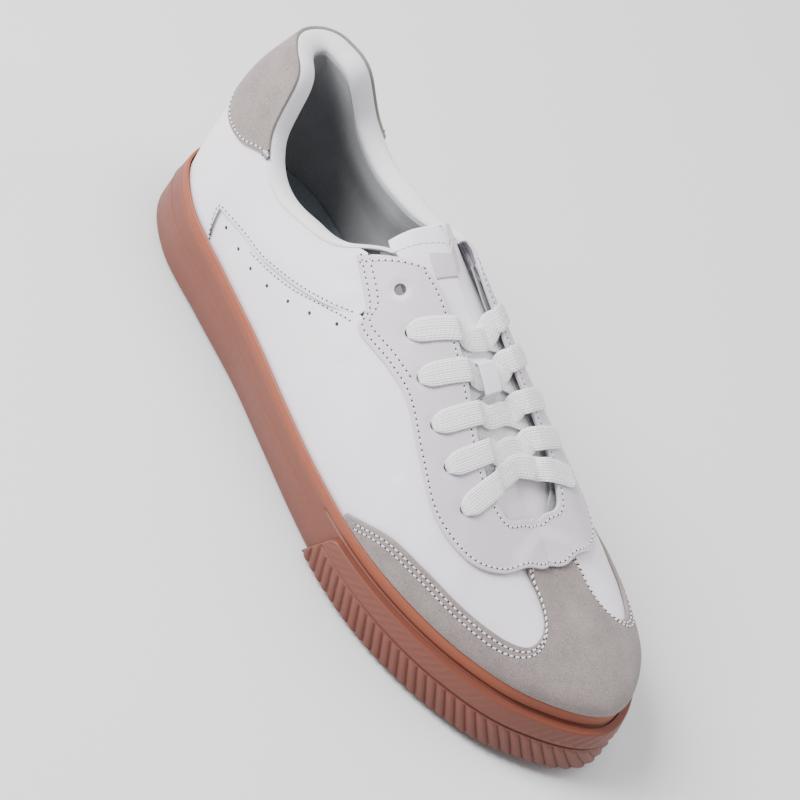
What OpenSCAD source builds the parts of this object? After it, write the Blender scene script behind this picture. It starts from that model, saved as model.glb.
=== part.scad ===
// Right-foot court shoe: cupsole, lasted upper, threaded lace, hinged tongue and lift-out sockliner.
// Design axes: x from heel to toe, y to the medial side, z up from the ground. All sizes in millimetres.

/* [Size] */
// Length of the sole, heel to toe
sole_l = 291; // [265:1:320]
// Width of the sole across the ball of the foot
sole_w = 107; // [98:1:116]
// Height of the heel top above the ground
heel_h = 103; // [96:1:112]

/* [Upper] */
// Thickness of each leather layer
leather = 1.3; // [1:0.1:1.5]
// Thickness of the collar padding at the topline
collar_pad = 5.6; // [3:0.2:6]
// Height of the rolled collar edge
roll_h = 3; // [2:0.2:4]
// Thickness of the tongue foam
tongue_pad = 4.4; // [3:0.2:5]

/* [Lacing] */
// Width of the flat lace
lace_w = 8; // [6:0.5:8.5]
// Thickness of the flat lace
lace_t = 1.2; // [1:0.1:1.3]
// Radius of a punched eyelet
eyelet_r = 2.3; // [2.2:0.05:2.4]

/* [Sole] */
// Height of the tread bars
tread_h = 1.5; // [1:0.1:2]
// Thickness of the cup's floor
floor_t = 4.5; // [4:0.1:5]
// Thickness of the insole board
board_t = 1.6; // [1.2:0.1:1.8]
// Thickness of the sockliner foam
sock_t = 3.6; // [3:0.1:4]
// How far the ribbed bumper stands out from the cup
bumper_t = 3; // [2:0.1:3]

/* [Hidden] */

// nominal sizes that the shape tables below are drawn at
nominal = [291, 107, 103];
scale_by = [sole_l / nominal.x, sole_w / nominal.y, heel_h / nominal.z];
// from the design axes to the middle of the base
origin_at = [144.2, 2.7, 0];

// ---- shape of the last: rim outline and tables along it, from heel (first) to toe (last) ----

// rim of the cup where the upper meets it, from the heel along the lateral side to the toe
rim_lateral = [
  [3, -1], [10, -24], [33, -36], [64, -38.5], [95, -40.5], [126, -44], [157, -46.5], [188, -46],
  [216, -40], [242, -29], [265, -12], [281, 15]
];
// and along the medial side
rim_medial = [
  [3, -1], [10, 20], [33, 32], [64, 33], [95, 31], [126, 33], [157, 39], [188, 46], [216, 49.5],
  [243, 49.5], [267, 39.5], [281, 15]
];
spans = len(rim_lateral) - 1;
rim_points = concat(rim_lateral, [for (i = [spans - 1:-1:1]) rim_medial[i]]);

rim_height = [30, 30, 29.5, 29, 28.5, 28, 28, 28.5, 29.5, 31, 32];
spine_height = [135, 133, 123, 112, 101.5, 91, 79, 67, 55.5, 48, 46];
spine_side = [-1, -1, -1, -1, -0.5, 1.5, 3, 4.5, 7, 10, 12];
spine_ends = [48, 246];
inward_lean = [0.77, 0.85, 0.77, 0.52, 0.3, 0.2, 0.16, 0.11, 0.05, 0, 0];
lean_power = 1.6;
squareness = [3.4, 3.4, 3.4, 3.4, 3.2, 2.9, 2.6, 2.3, 2, 1.9, 1.9];
fullness = [2.5, 2.5, 2, 1.5, 1, 1, 1, 1.5, 2, 2.5, 2.5];
// how far the foot of the cup's wall stands out past the rim
wall_flare = [3, 3, 2.8, 1.6, 0.2, 0.4, 2, 4, 5, 6.2, 6.6];
// the topline, as a share of the way from rim to spine, every 0.05 from the heel
topline_step = 0.05;
topline_lateral = [0.4, 0.403, 0.41, 0.405, 0.31, 0.277, 0.322, 0.41, 0.62];
topline_medial = [0.4, 0.405, 0.415, 0.42, 0.335, 0.315, 0.36, 0.44, 0.62];

// ---- curves ----

// uniform Catmull-Rom blend of four values
function blend4(a, b, c, d, f) =
  0.5 * (2 * b + (c - a) * f + (2 * a - 5 * b + 4 * c - d) * f ^ 2 + (3 * b - a - 3 * c + d) * f ^ 3);

// smooth value of a table at 0..1, level at both ends
function along(v, u) =
  let (
    n = len(v) - 1,
    s = min(max(u, 0), 1) * n,
    i = min(floor(s), n - 1),
    before = i == 0 ? v[1] : v[i - 1],
    after = i == n - 1 ? v[n - 1] : v[i + 2]
  )
  blend4(before, v[i], v[i + 1], after, s - i);

// smooth open curve through points at 0..1
function curve(v, u) =
  let (
    n = len(v) - 1,
    s = min(max(u, 0), 1) * n,
    i = min(floor(s), n - 1),
    before = i == 0 ? 2 * v[0] - v[1] : v[i - 1],
    after = i == n - 1 ? 2 * v[n] - v[n - 1] : v[i + 2]
  )
  blend4(before, v[i], v[i + 1], after, s - i);

function wrap(i, n) = ((i % n) + n) % n;
// q runs round the shoe: 0 heel, 0 to 1 lateral, 1 toe tip, 1 to 2 medial
function ring(q) = ((q % 2) + 2) % 2;
// distance along the shoe, 0 heel to 1 toe, on either side
function lengthwise(q) = let (m = ring(q)) m <= 1 ? m : 2 - m;
function rim(q) =
  let (n = len(rim_points), s = ring(q) * spans, i = floor(s))
  blend4(
    rim_points[wrap(i - 1, n)], rim_points[wrap(i, n)], rim_points[wrap(i + 1, n)],
    rim_points[wrap(i + 2, n)], s - i
  );
function ease(x) = let (c = min(max(x, 0), 1)) c * c * (3 - 2 * c);
function unit(v) = v / norm(v);

// ---- heights inside the sole, by the distance x from the heel ----

toe_spring_from = 215;
toe_spring_run = 76;
toe_spring = 3.5;
heel_bevel = 14;
function spring(x) = toe_spring * (max(x - toe_spring_from, 0) / toe_spring_run) ^ 2;
function bevel(x) = 1.6 * (max(heel_bevel - x, 0) / heel_bevel) ^ 2;
function underside(x) = tread_h + spring(x) + bevel(x);
function cup_floor(x) = tread_h + floor_t + spring(x);
function board_under(x) = 18.5 - 6 * ease((x - 60) / 130) + spring(x);
function board_top(x) = board_under(x) + board_t;

// ---- the last's surface ----

below = 0.1;
// point of the surface: q round the shoe, t from 0 at the rim to 1 on the spine; t below 0 goes
// straight down inside the cup, to the insole board at -0.1
function last(q, t) =
  t > 1 ? last(2 - q, 2 - t) :
  let (
    a = lengthwise(q),
    r = rim(q),
    spine = [
      spine_ends[0] + (spine_ends[1] - spine_ends[0]) * (r.x - rim_lateral[0].x)
        / (rim_lateral[spans].x - rim_lateral[0].x),
      along(spine_side, a)
    ],
    base = along(rim_height, a),
    lean = along(inward_lean, a),
    p = along(squareness, a),
    c = max(cos(90 * max(t, 0)), 1e-9),
    s = max(sin(90 * max(t, 0)), 1e-9),
    d = (c ^ p + s ^ p) ^ (1 / p),
    out = c / d,
    up = s / d,
    full = along(fullness, a) * sin(180 * min(1.2 * up, 1)),
    bulge = full * unit(r - spine),
    down = (base - board_top(r.x) - 0.3) * min(t, 0) / below,
    shape = [
      r.x + (spine.x - r.x) * (1 - out) + bulge.x,
      r.y + (spine.y - r.y) * (lean * up ^ lean_power + (1 - lean) * (1 - out)) + bulge.y,
      base + (along(spine_height, a) - base) * up + down
    ]
  )
  [shape.x * scale_by.x, shape.y * scale_by.y, shape.z * scale_by.z];

step_q = 0.004;
step_t = 0.01;
// outward normal
function outward(q, t) =
  let (
    dq = last(q + step_q, t) - last(q - step_q, t),
    dt = last(q, t + step_t) - last(q, t - step_t)
  )
  unit(cross(dq, dt));
// point at a distance off the surface, positive outwards
function skin(q, t, off = 0) =
  t > 1 ? skin(2 - q, 2 - t, off) :
  let (ts = max(t, 0.012))
  last(q, t) + off * (t < 0.012 ? unit([outward(q, ts).x, outward(q, ts).y, 0]) : outward(q, ts));
// the same across the shoe: s from 0 lateral rim over the spine at 1 to 2 at the medial rim
function over(a, s, off = 0) = skin(a, s, off);

function topline(q) =
  let (
    m = ring(q),
    side = m <= 1 ? topline_lateral : topline_medial,
    a = lengthwise(q) / topline_step / (len(side) - 1)
  )
  along(side, a);

// ---- solids from grids of points ----

function flat(grid) = [for (row = grid) each row];
function quad(a, b, c, d) = [[a, b, c], [a, c, d]];

module placed(points, faces) {
  polyhedron(points = [for (p = points) p - origin_at], faces = faces, convexity = 10);
}

// closed sheet between an outer and an inner grid of points
module slab(outer, inner) {
  nu = len(outer);
  nv = len(outer[0]);
  m = nu * nv;
  faces = concat(
    [for (i = [0:nu - 2], j = [0:nv - 2])
      each quad(i * nv + j, i * nv + j + 1, (i + 1) * nv + j + 1, (i + 1) * nv + j)],
    [for (i = [0:nu - 2], j = [0:nv - 2])
      each quad(m + i * nv + j, m + (i + 1) * nv + j, m + (i + 1) * nv + j + 1, m + i * nv + j + 1)],
    [for (i = [0:nu - 2]) each quad(i * nv, (i + 1) * nv, m + (i + 1) * nv, m + i * nv)],
    [for (i = [0:nu - 2])
      each quad((i + 1) * nv - 1, m + (i + 1) * nv - 1, m + (i + 2) * nv - 1, (i + 2) * nv - 1)],
    [for (j = [0:nv - 2]) each quad(j, m + j, m + j + 1, j + 1)],
    [for (j = [0:nv - 2])
      each quad((nu - 1) * nv + j, (nu - 1) * nv + j + 1, m + (nu - 1) * nv + j + 1, m + (nu - 1) * nv + j)]
  );
  placed(concat(flat(outer), flat(inner)), faces);
}

// closed solid from stacked loops round the shoe, each capped by strips across the shoe
module stack(loops) {
  n = len(loops[0]);
  k = len(loops);
  half = n / 2;
  wall = [for (i = [0:k - 2], j = [0:n - 1])
    let (jn = (j + 1) % n)
    each quad(i * n + j, (i + 1) * n + j, (i + 1) * n + jn, i * n + jn)];
  strip = [for (j = [0:half - 1])
    let (a = j, b = j + 1, c = (n - j - 1) % n, d = (n - j) % n)
    if (j == 0) [a, b, c]
    else if (j == half - 1) [a, b, d]
    else each quad(a, b, c, d)];
  last_cap = [for (f = strip) [f[2] + (k - 1) * n, f[1] + (k - 1) * n, f[0] + (k - 1) * n]];
  placed(flat(loops), concat(wall, strip, last_cap));
}

// closed tube of rings
module tube(rings) {
  n = len(rings[0]);
  k = len(rings);
  wall = [for (i = [0:k - 2], j = [0:n - 1])
    let (jn = (j + 1) % n)
    each quad(i * n + j, i * n + jn, (i + 1) * n + jn, (i + 1) * n + j)];
  ends = [for (j = [1:n - 2]) each [[0, j + 1, j], [(k - 1) * n, (k - 1) * n + j, (k - 1) * n + j + 1]]];
  placed(flat(rings), concat(wall, ends));
}

function span(a, b, n) = [for (i = [0:n]) a + (b - a) * i / n];
function mirrored(edge) = [for (i = [len(edge) - 1:-1:0]) [edge[i][0], 2 - edge[i][1]]];

// sheet on the last at the stations qs, t from low(q) to high(q), between offsets lo and hi;
// the collar padding pushes its two faces inwards by the shares pad_lo and pad_hi
module panel(qs, low, high, nt, lo, hi, pad_lo = 0, pad_hi = 0) {
  grid = function (off, share) [
    for (q = qs) let (a = low(q), b = high(q))
      [for (v = span(0, 1, nt)) let (t = a + (b - a) * v) skin(q, t, off - share * padding(q, t))]
  ];
  slab(grid(hi, pad_hi), grid(lo, pad_lo));
}

// sheet between edge curves, each a list of points (a, s) across the shoe
module between(edges, nu, nv, lo, hi) {
  n = len(edges) - 1;
  grid = function (off) [
    for (u = span(0, 1, nu))
      let (p = [for (e = edges) curve(e, u)])
      [for (v = span(0, n, n * nv))
        let (i = min(floor(v), n - 1), c = p[i] + (p[i + 1] - p[i]) * (v - i))
        skin(c[0], c[1], off)]
  ];
  slab(grid(hi), grid(lo));
}

// the same for the lateral half, whose last row lies along the middle of the shoe, and its mirror
// image beyond it
module halves(edges, nu, nv, lo, hi) {
  n = len(edges) - 1;
  row = function (u, off, side)
    let (p = [for (e = edges) curve(e, u)])
    [for (v = span(0, n, n * nv))
      let (i = min(floor(v), n - 1), c = p[i] + (p[i + 1] - p[i]) * (v - i))
      skin(side < 0 ? c[0] : 2 - c[0], c[1], off)];
  grid = function (off) concat(
    [for (i = [0:nu]) row(i / nu, off, -1)],
    [for (i = [nu - 1:-1:0]) row(i / nu, off, 1)]
  );
  slab(grid(hi), grid(lo));
}

// how far the collar padding stands inwards
pad_fades = [0.3, 0.4];
function padding(q, t) =
  collar_pad * ease((t / topline(q) - 0.35) / 0.5)
    * (1 - ease((lengthwise(q) - pad_fades[0]) / (pad_fades[1] - pad_fades[0])));

// ---- colours ----
gum = [0.72, 0.47, 0.38];
white_leather = [0.88, 0.87, 0.89];
suede = [0.74, 0.7, 0.68];
knit = [0.8, 0.84, 0.88];
foam = [0.85, 0.83, 0.7];
board = [0.75, 0.68, 0.55];
weave = [0.95, 0.95, 0.95];

// ---- offsets of the layers from the last's surface ----
overlay = [0.15, 0.15 + leather];
base = [-leather - 0.1, -0.1];
stiffener = [-3.2, -1.95];
lining_t = 0.7;
lining = [-2.4, -1.75];
deep_lining = [-4.5, -4.5 + lining_t];
// gap between parts that lie against each other
gap = 0.12;

// ---- sole ----

ring_steps = 72;
cup_gap = 0.6;
function loop(off, z, n = ring_steps) = [
  for (i = [0:n - 1])
    let (
      q = 2 * i / n,
      p = rim(q),
      d = unit(rim(q + step_q) - rim(q - step_q)),
      e = p + [d.y, -d.x] * off(q)
    )
    [e.x * scale_by.x, e.y * scale_by.y, z(e.x, q) * scale_by.z]
];
function flare(q) = along(wall_flare, lengthwise(q));
function rim_z(q) = along(rim_height, lengthwise(q));
// how far the inside of the cup draws in at the floor, where the wall tucks under the arch
function tuck(q) = max(1.9 - flare(q), 0);
board_tuck = 0.4;
// half way up the wall it stands at least this far out
function wall_middle(q) = max(0.5 * (flare(q) + 2) + 0.4, 1.8);

module outsole_cup() {
  rim_w = 2;
  color(gum) stack([
    loop(function (q) flare(q) - 3, function (x, q) underside(x)),
    loop(function (q) flare(q) - 0.7, function (x, q) underside(x) + 0.5),
    loop(function (q) flare(q), function (x, q) underside(x) + 2.5),
    loop(function (q) wall_middle(q), function (x, q) 0.5 * (underside(x) + rim_z(q))),
    loop(function (q) rim_w, function (x, q) rim_z(q) - 2.2),
    loop(function (q) rim_w - 0.4, function (x, q) rim_z(q) - 0.5),
    loop(function (q) rim_w - 1.1, function (x, q) rim_z(q)),
    loop(function (q) cup_gap, function (x, q) rim_z(q) - 0.5),
    loop(function (q) cup_gap, function (x, q) board_top(x) + 0.15),
    loop(function (q) cup_gap - board_tuck * tuck(q), function (x, q) board_top(x) - 0.05),
    loop(function (q) cup_gap - tuck(q), function (x, q) cup_floor(x) + 1),
    loop(function (q) cup_gap - 1 - tuck(q), function (x, q) cup_floor(x))
  ]);
}

bumper_from = 0.594;
bumper_top = 0.78;
// wall of the cup as a distance out from the rim at a share k of its height
function wall_out(q, k) =
  k < 0.5
    ? flare(q) + (wall_middle(q) - flare(q)) * k / 0.5
    : wall_middle(q) + (2 - wall_middle(q)) * (k - 0.5) / 0.43;
function wall_point(q, k, out) =
  let (
    p = rim(q),
    d = unit(rim(q + step_q) - rim(q - step_q)),
    e = p + [d.y, -d.x] * (wall_out(q, k) + out),
    z = underside(e.x) + 1 + (rim_z(q) - underside(e.x) - 1) * k
  )
  [e.x * scale_by.x, e.y * scale_by.y, z * scale_by.z];
module forefoot_bumper() {
  heights = [-0.03, 0.02, 0.22, 0.42, 0.45, 0.48, 0.6, 0.74, bumper_top];
  swell = [0.4, 0.9, 1, 1, 0.5, 1, 1, 0.9, 0.4];
  grid = function (k) [
    for (q = span(bumper_from, 2 - bumper_from, 42))
      [for (j = [0:len(heights) - 1]) wall_point(q, heights[j], 0.3 + k * swell[j] * bumper_t)]
  ];
  color(gum) slab(grid(1), grid(0));
}

// outline of the flat part of the sole, inset from its edge
module footprint(inset) {
  polygon([
    for (p = loop(function (q) flare(q) - inset, function (x, q) 0, 48)) [p.x - origin_at.x, p.y - origin_at.y]
  ]);
}
tread_pitch = 9;
tread_bar = 5;
tread_zigzag = 12;
pivot_at = [53, 2];
pivot_r = 17;
module zigzag_bars() {
  for (x = [-136:tread_pitch:82])
    for (k = [-5:4])
      let (y0 = k * tread_zigzag, rise = (k % 2 == 0) ? 5 : -5)
        polygon([
          [x - rise / 2, y0], [x + tread_bar - rise / 2, y0], [x + tread_bar + rise / 2, y0 + tread_zigzag],
          [x + rise / 2, y0 + tread_zigzag]
        ]);
}
module tread() {
  flat_from = 14;
  flat_to = 224;
  color(gum) linear_extrude(tread_h) {
    intersection() {
      footprint(4);
      translate([flat_from - origin_at.x, -60]) square([flat_to - flat_from, 120]);
      difference() {
        zigzag_bars();
        translate(pivot_at) circle(pivot_r + 3, $fn = 48);
      }
    }
    translate(pivot_at) difference() {
      circle(pivot_r, $fn = 48);
      circle(pivot_r - 4, $fn = 48);
    }
    translate(pivot_at) circle(pivot_r - 8, $fn = 48);
  }
}

module midsole() {
  color(foam) stack([
    loop(function (q) -1.4 - tuck(q), function (x, q) cup_floor(x) + gap, 48),
    loop(function (q) -0.3 - tuck(q), function (x, q) cup_floor(x) + 1.4, 48),
    loop(function (q) -0.3 - board_tuck * tuck(q), function (x, q) board_under(x) - gap, 48)
  ]);
}
module insole_board() {
  fit = function (q) -0.3 - board_tuck * tuck(q);
  color(board) stack([
    loop(fit, function (x, q) board_under(x), 48),
    loop(fit, function (x, q) board_top(x), 48)
  ]);
}
sock_gap = 5.2;
sock_rise = 2.2;
cover_t = 0.9;
module sockliner_foam() {
  top = function (x, q) board_top(x) + gap + sock_t;
  color(foam) stack([
    loop(function (q) -sock_gap - 1, function (x, q) board_top(x) + gap, 48),
    loop(function (q) -sock_gap, function (x, q) board_top(x) + 1.2, 48),
    loop(function (q) -sock_gap, function (x, q) top(x, q) + sock_rise, 48),
    loop(function (q) -sock_gap - 1.6, function (x, q) top(x, q) + sock_rise - 0.4, 48),
    loop(function (q) -sock_gap - 6, top, 48)
  ]);
}
module sockliner_cover() {
  top = function (x, q) board_top(x) + gap + sock_t;
  lift = gap;
  color([0.55, 0.58, 0.62]) stack([
    loop(function (q) -sock_gap - 6, function (x, q) top(x, q) + lift, 48),
    loop(function (q) -sock_gap - 1.6, function (x, q) top(x, q) + sock_rise - 0.4 + lift, 48),
    loop(function (q) -sock_gap, function (x, q) top(x, q) + sock_rise + lift, 48),
    loop(function (q) -sock_gap, function (x, q) top(x, q) + sock_rise + cover_t, 48),
    loop(function (q) -sock_gap - 1.6, function (x, q) top(x, q) + sock_rise - 0.4 + cover_t, 48),
    loop(function (q) -sock_gap - 6, function (x, q) top(x, q) + cover_t, 48)
  ]);
}

// ---- upper ----

edge_from = 0.2;
// top edge of the vamp's U, every 0.04 from edge_from to the toe
vamp_edge = [
  0.12, 0.108, 0.108, 0.16, 0.242, 0.345, 0.43, 0.465, 0.5, 0.51, 0.495, 0.475, 0.463, 0.485, 0.56,
  0.72, 0.93, 0.985, 0.985, 0.97, 0.93
];
vamp_rear = 0.215;
vamp_top = function (q) along(vamp_edge, (lengthwise(q) - edge_from) / (1 - edge_from));
module vamp() {
  color(white_leather)
    panel(span(vamp_rear, 2 - vamp_rear, 54), function (q) -0.09, vamp_top, 5, base[0], base[1]);
}

collar_stations = concat(span(0.003, 0.207, 8), [0.2125], span(0.221, 0.432, 8));
panel_gap = 0.014;
under_stay = 0.47;
panel_low = function (q) lengthwise(q) < 0.21 ? -0.09 : vamp_top(q) + panel_gap;
panel_high = function (q) min(topline(q), under_stay);
module collar_panel(side) {
  qs = side < 0 ? collar_stations : [for (i = [len(collar_stations) - 1:-1:0]) 2 - collar_stations[i]];
  color(white_leather) panel(qs, panel_low, panel_high, 5, base[0], base[1]);
}
module collar_panel_lateral() { collar_panel(-1); }
module collar_panel_medial() { collar_panel(1); }

// lace stay: lateral half of its outer and of its throat edge, then the middle of the front
stay_outer = [
  [0.372, 0.455], [0.43, 0.445], [0.448, 0.402], [0.5, 0.46], [0.545, 0.493], [0.61, 0.465],
  [0.675, 0.433], [0.74, 0.48], [0.785, 0.61], [0.812, 0.78]
];
stay_front = [0.828, 1.02];
stay_inner = [
  [0.408, 0.713], [0.432, 0.765], [0.46, 0.785], [0.5, 0.792], [0.545, 0.793], [0.61, 0.765],
  [0.66, 0.745], [0.715, 0.765], [0.742, 0.81], [0.757, 0.91]
];
throat_front = [0.761, 1];
eyelet_a = [0.428, 0.478, 0.53, 0.584, 0.633, 0.687];
eyelet_s = 0.58;
drill_depth = 8;

// one cylinder through each eyelet of one side, square to the surface
module drills(side) {
  for (a = eyelet_a) {
    q = side < 0 ? a : 2 - a;
    n = outward(q, eyelet_s);
    p = last(q, eyelet_s) - origin_at;
    translate(p - n * drill_depth / 2)
      rotate([0, acos(n.z), atan2(n.y, n.x)])
        cylinder(h = drill_depth, r = eyelet_r, $fn = 24);
  }
}
module lace_stay() {
  color(white_leather) difference() {
    between(
      [concat(stay_outer, [stay_front], mirrored(stay_outer)),
       concat(stay_inner, [throat_front], mirrored(stay_inner))],
      42, 3, overlay[0], overlay[1]
    );
    drills(-1);
    drills(1);
  }
}
backing_t = 0.8;
module eyelet_backing(side) {
  q0 = side < 0 ? 0.415 : 1.295;
  color(weave) difference() {
    panel(span(q0, q0 + 0.29, 10), function (q) 0.53, function (q) 0.69, 1, -backing_t, -0.05);
    drills(side);
  }
}
module eyelet_backing_lateral() { eyelet_backing(-1); }
module eyelet_backing_medial() { eyelet_backing(1); }

// toe cap: rim, half way and top edges, from its lateral end to the middle
cap_start = 0.004;
cap_low = [for (q = [0.6, 0.66, 0.72, 0.78, 0.84, 0.875, 0.9, 0.925, 0.95, 0.97, 0.985, 1]) [q, cap_start]];
cap_middle = [
  [0.6, 0.012], [0.657, 0.1], [0.717, 0.15], [0.78, 0.18], [0.84, 0.21], [0.876, 0.3], [0.9, 0.4],
  [0.91, 0.56], [0.915, 0.72], [0.92, 0.84], [0.945, 0.93], [0.96, 1]
];
cap_high = [
  [0.6, 0.03], [0.655, 0.19], [0.715, 0.262], [0.78, 0.308], [0.84, 0.365], [0.874, 0.45],
  [0.888, 0.6], [0.876, 0.705], [0.85, 0.75], [0.826, 0.785], [0.836, 0.89], [0.84, 1]
];
module toe_cap() {
  color(suede) halves([cap_low, cap_middle, cap_high], 24, 4, overlay[0], overlay[1]);
}

tab_end = 0.218;
tab_low = [0.235, 0.228, 0.212, 0.204, 0.232, 0.284];
module heel_tab() {
  color(suede)
    panel(
      span(-tab_end, tab_end, 22), function (q) along(tab_low, lengthwise(q) / tab_end),
      function (q) topline(q) + 0.004, 4, overlay[0], overlay[1]
    );
}

counter_end = 0.27;
counter_top = [0.27, 0.27, 0.25, 0.2, 0.13];
module heel_counter() {
  color(board)
    panel(
      span(-counter_end, counter_end, 26), function (q) -0.08,
      function (q) along(counter_top, lengthwise(q) / counter_end), 4, stiffener[0], stiffener[1]
    );
}
module toe_puff() {
  color(board) across(0.84, 0.97, 6, 0.06, 20, -3.1, -2);
}
// sheet right across the shoe from rim to rim
module across(a0, a1, na, inset, ns, lo, hi) {
  between([[[a0, inset], [a1, inset]], [[a0, 1], [a1, 1]], [[a0, 2 - inset], [a1, 2 - inset]]], na, ns / 2, lo, hi);
}
module vamp_lining() {
  color(knit) across(0.8, 0.978, 7, -0.08, 18, -4.2, -3.5);
}

quarter_ends = [0.416, 0.75];
throat_edge = [0.72, 0.775, 0.787, 0.788, 0.78, 0.752, 0.74, 0.76, 0.845];
throat = function (q)
  along(throat_edge, (lengthwise(q) - quarter_ends[0]) / (quarter_ends[1] - quarter_ends[0]));
module quarter_lining(side) {
  q0 = side < 0 ? quarter_ends[0] : 2 - quarter_ends[1];
  color(knit) difference() {
    panel(span(q0, q0 + quarter_ends[1] - quarter_ends[0], 13), function (q) -0.08, throat, 6, lining[0], lining[1]);
    drills(side);
  }
}
module quarter_lining_lateral() { quarter_lining(-1); }
module quarter_lining_medial() { quarter_lining(1); }

collar_end = 0.412;
module collar_lining() {
  color(knit)
    panel(
      span(-collar_end, collar_end, 36), function (q) -0.08, function (q) min(topline(q) - 0.004, 0.52), 6,
      deep_lining[0], deep_lining[1], 1, 1
    );
}
foam_at = [-3.65, -3.4];
module collar_foam() {
  color(foam)
    panel(
      span(-0.36, 0.36, 36), function (q) 0.5 * topline(q), function (q) topline(q) - 0.008, 4,
      foam_at[0], foam_at[1], 0.9, 0
    );
}
module collar_edge() {
  top = function (q) topline(q) + 0.005;
  arch = [[0, 0.5], [0.04, 0.75], [0.25, 0.97], [0.5, 1], [0.75, 0.97], [0.96, 0.75], [1, 0.5]];
  grid = function (raised) [
    for (q = span(-0.366, 0.366, 40))
      let (t = top(q), rise = unit(last(q, t + step_t) - last(q, t)), w = 3.8 + padding(q, t))
      [for (p = arch) skin(q, t, -w * p[0]) + rise * (raised ? 0.2 + roll_h * p[1] : 0.1)]
  ];
  color(knit) slab(grid(true), grid(false));
}

// ---- tongue ----

tongue_top = 0.334;
tongue_front = 0.782;
// side edge of the tongue, from its top to its front
tongue_side = [
  [tongue_top + 0.032, 0.56], [0.42, 0.58], [0.5, 0.645], [0.6, 0.66], [0.7, 0.69], [tongue_front, 0.74]
];
tongue_mid = [[tongue_top, 1], [0.42, 1], [0.5, 1], [0.6, 1], [0.7, 1], [tongue_front, 1]];
tongue_at = -4.1;
tongue_foam_at = [tongue_at - leather - gap - tongue_pad, tongue_at - leather - gap];
module tongue_sheet(lo, hi, nv) {
  other = [for (p = tongue_side) [p[0], 2 - p[1]]];
  between([tongue_side, tongue_mid, other], 14, nv, lo, hi);
}
module tongue_outer() { color(white_leather) tongue_sheet(tongue_at - leather, tongue_at, 4); }
module tongue_foam() { color(foam) tongue_sheet(tongue_foam_at[0], tongue_foam_at[1], 4); }
module tongue_lining() {
  color(knit) tongue_sheet(tongue_foam_at[0] - gap - lining_t, tongue_foam_at[0] - gap, 4);
}
module tongue_patch() {
  color(white_leather)
    between([[[0.385, 0.78], [0.42, 0.8]], [[0.37, 1.14], [0.404, 1.12]]], 4, 6, tongue_at + 0.25, tongue_at + 0.95);
}
keeper_a = [0.528, 0.586];
keeper_s = [0.89, 1.02];
keeper_t = 0.9;
module lace_keeper() {
  lift = [0.06, 0.06, 3.9, 4.1, 4.1, 3.9, 0.06, 0.06];
  along_a = [0, 0.05, 0.12, 0.35, 0.65, 0.88, 0.95, 1];
  grid = function (extra) [
    for (i = [0:len(lift) - 1])
      [for (s = span(keeper_s[0], keeper_s[1], 4))
        over(keeper_a[0] + (keeper_a[1] - keeper_a[0]) * along_a[i], s, tongue_at + lift[i] + extra)]
  ];
  color(white_leather) slab(grid(keeper_t), grid(0));
}

// ---- lace ----

// section of the flat lace, as shares of its width and thickness
lace_section = [
  [0.5, 0.2], [0.38, 0.5], [-0.38, 0.5], [-0.5, 0.2], [-0.5, -0.2], [-0.38, -0.5], [0.38, -0.5], [0.5, -0.2]
];
hole_w = 3.6;
hole_t = 2.2;
// where the lace passes under and over the stays, as offsets
under_at = -3.15;
over_at = 2.1;
low_cross = -3.15;
high_cross = -1.75;
// dive into an eyelet from outside: distance s inboard of it, offset, width and thickness
dive = [
  [0.265, -0.9, lace_w, lace_t], [0.225, 1.8, lace_w, lace_t], [0.15, over_at, lace_w, lace_t],
  [0.09, over_at, 0.95 * lace_w, lace_t], [0.055, over_at + 0.25, 0.75 * lace_w, 1.3 * lace_t],
  [0.03, over_at + 0.5, 5, 1.6], [0.008, 2.3, 4, 1.9], [0, 0.9, hole_w, hole_t], [0, -0.9, hole_w, hole_t],
  [0, -2.3, hole_w, hole_t]
];
reach = dive[0][0];
// way from under an eyelet to the throat: back along the shoe, inboard, offset, width, thickness
emerge = [
  [0, 0.022, under_at + 0.1, 5, 1.5], [-0.004, 0.06, under_at, 0.8 * lace_w, lace_t],
  [-0.011, 0.13, under_at, lace_w, lace_t], [-0.018, 0.22, under_at + 0.15, lace_w, lace_t]
];
function to_side(side, s) = side < 0 ? s : 2 - s;
function diving(side, level, drift) = [
  for (d = dive)
    [eyelet_a[level] + drift * d[0] / reach, to_side(side, eyelet_s + d[0]), d[1], d[2], d[3]]
];
function emerging(side, level) = [
  for (e = emerge) [eyelet_a[level] + e[0], to_side(side, eyelet_s + e[1]), e[2], e[3], e[4]]
];
// from the inside of one eyelet over the tongue into the next eyelet of the other side
function crossing(side, level) =
  let (a = (eyelet_a[level] + eyelet_a[level - 1]) / 2, at = side > 0 ? high_cross : low_cross)
  concat(
    emerging(side, level),
    [[a + 0.001, to_side(side, 0.92), at - (side > 0 ? 0.9 : 0), lace_w, lace_t], [a, 1, at, lace_w, lace_t],
     [a - 0.002, to_side(-side, 0.9), at + (side > 0 ? 0 : 0.5), lace_w, lace_t]],
    diving(-side, level - 1, 0.012)
  );
function strand(side, level) =
  level == 1 ? [] : concat(crossing(side, level), strand(-side, level - 1));
function reversed(v) = [for (i = [len(v) - 1:-1:0]) v[i]];
lowest = len(eyelet_a) - 1;
bottom_bar = concat(
  reversed(diving(-1, lowest, 0)),
  [[eyelet_a[lowest], 0.92, -0.6, lace_w, lace_t], [eyelet_a[lowest], 1.08, -0.6, lace_w, lace_t]],
  diving(1, lowest, 0)
);
lace_route = concat(reversed(strand(-1, lowest)), bottom_bar, strand(1, lowest));
lace_fine = 1;
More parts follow.
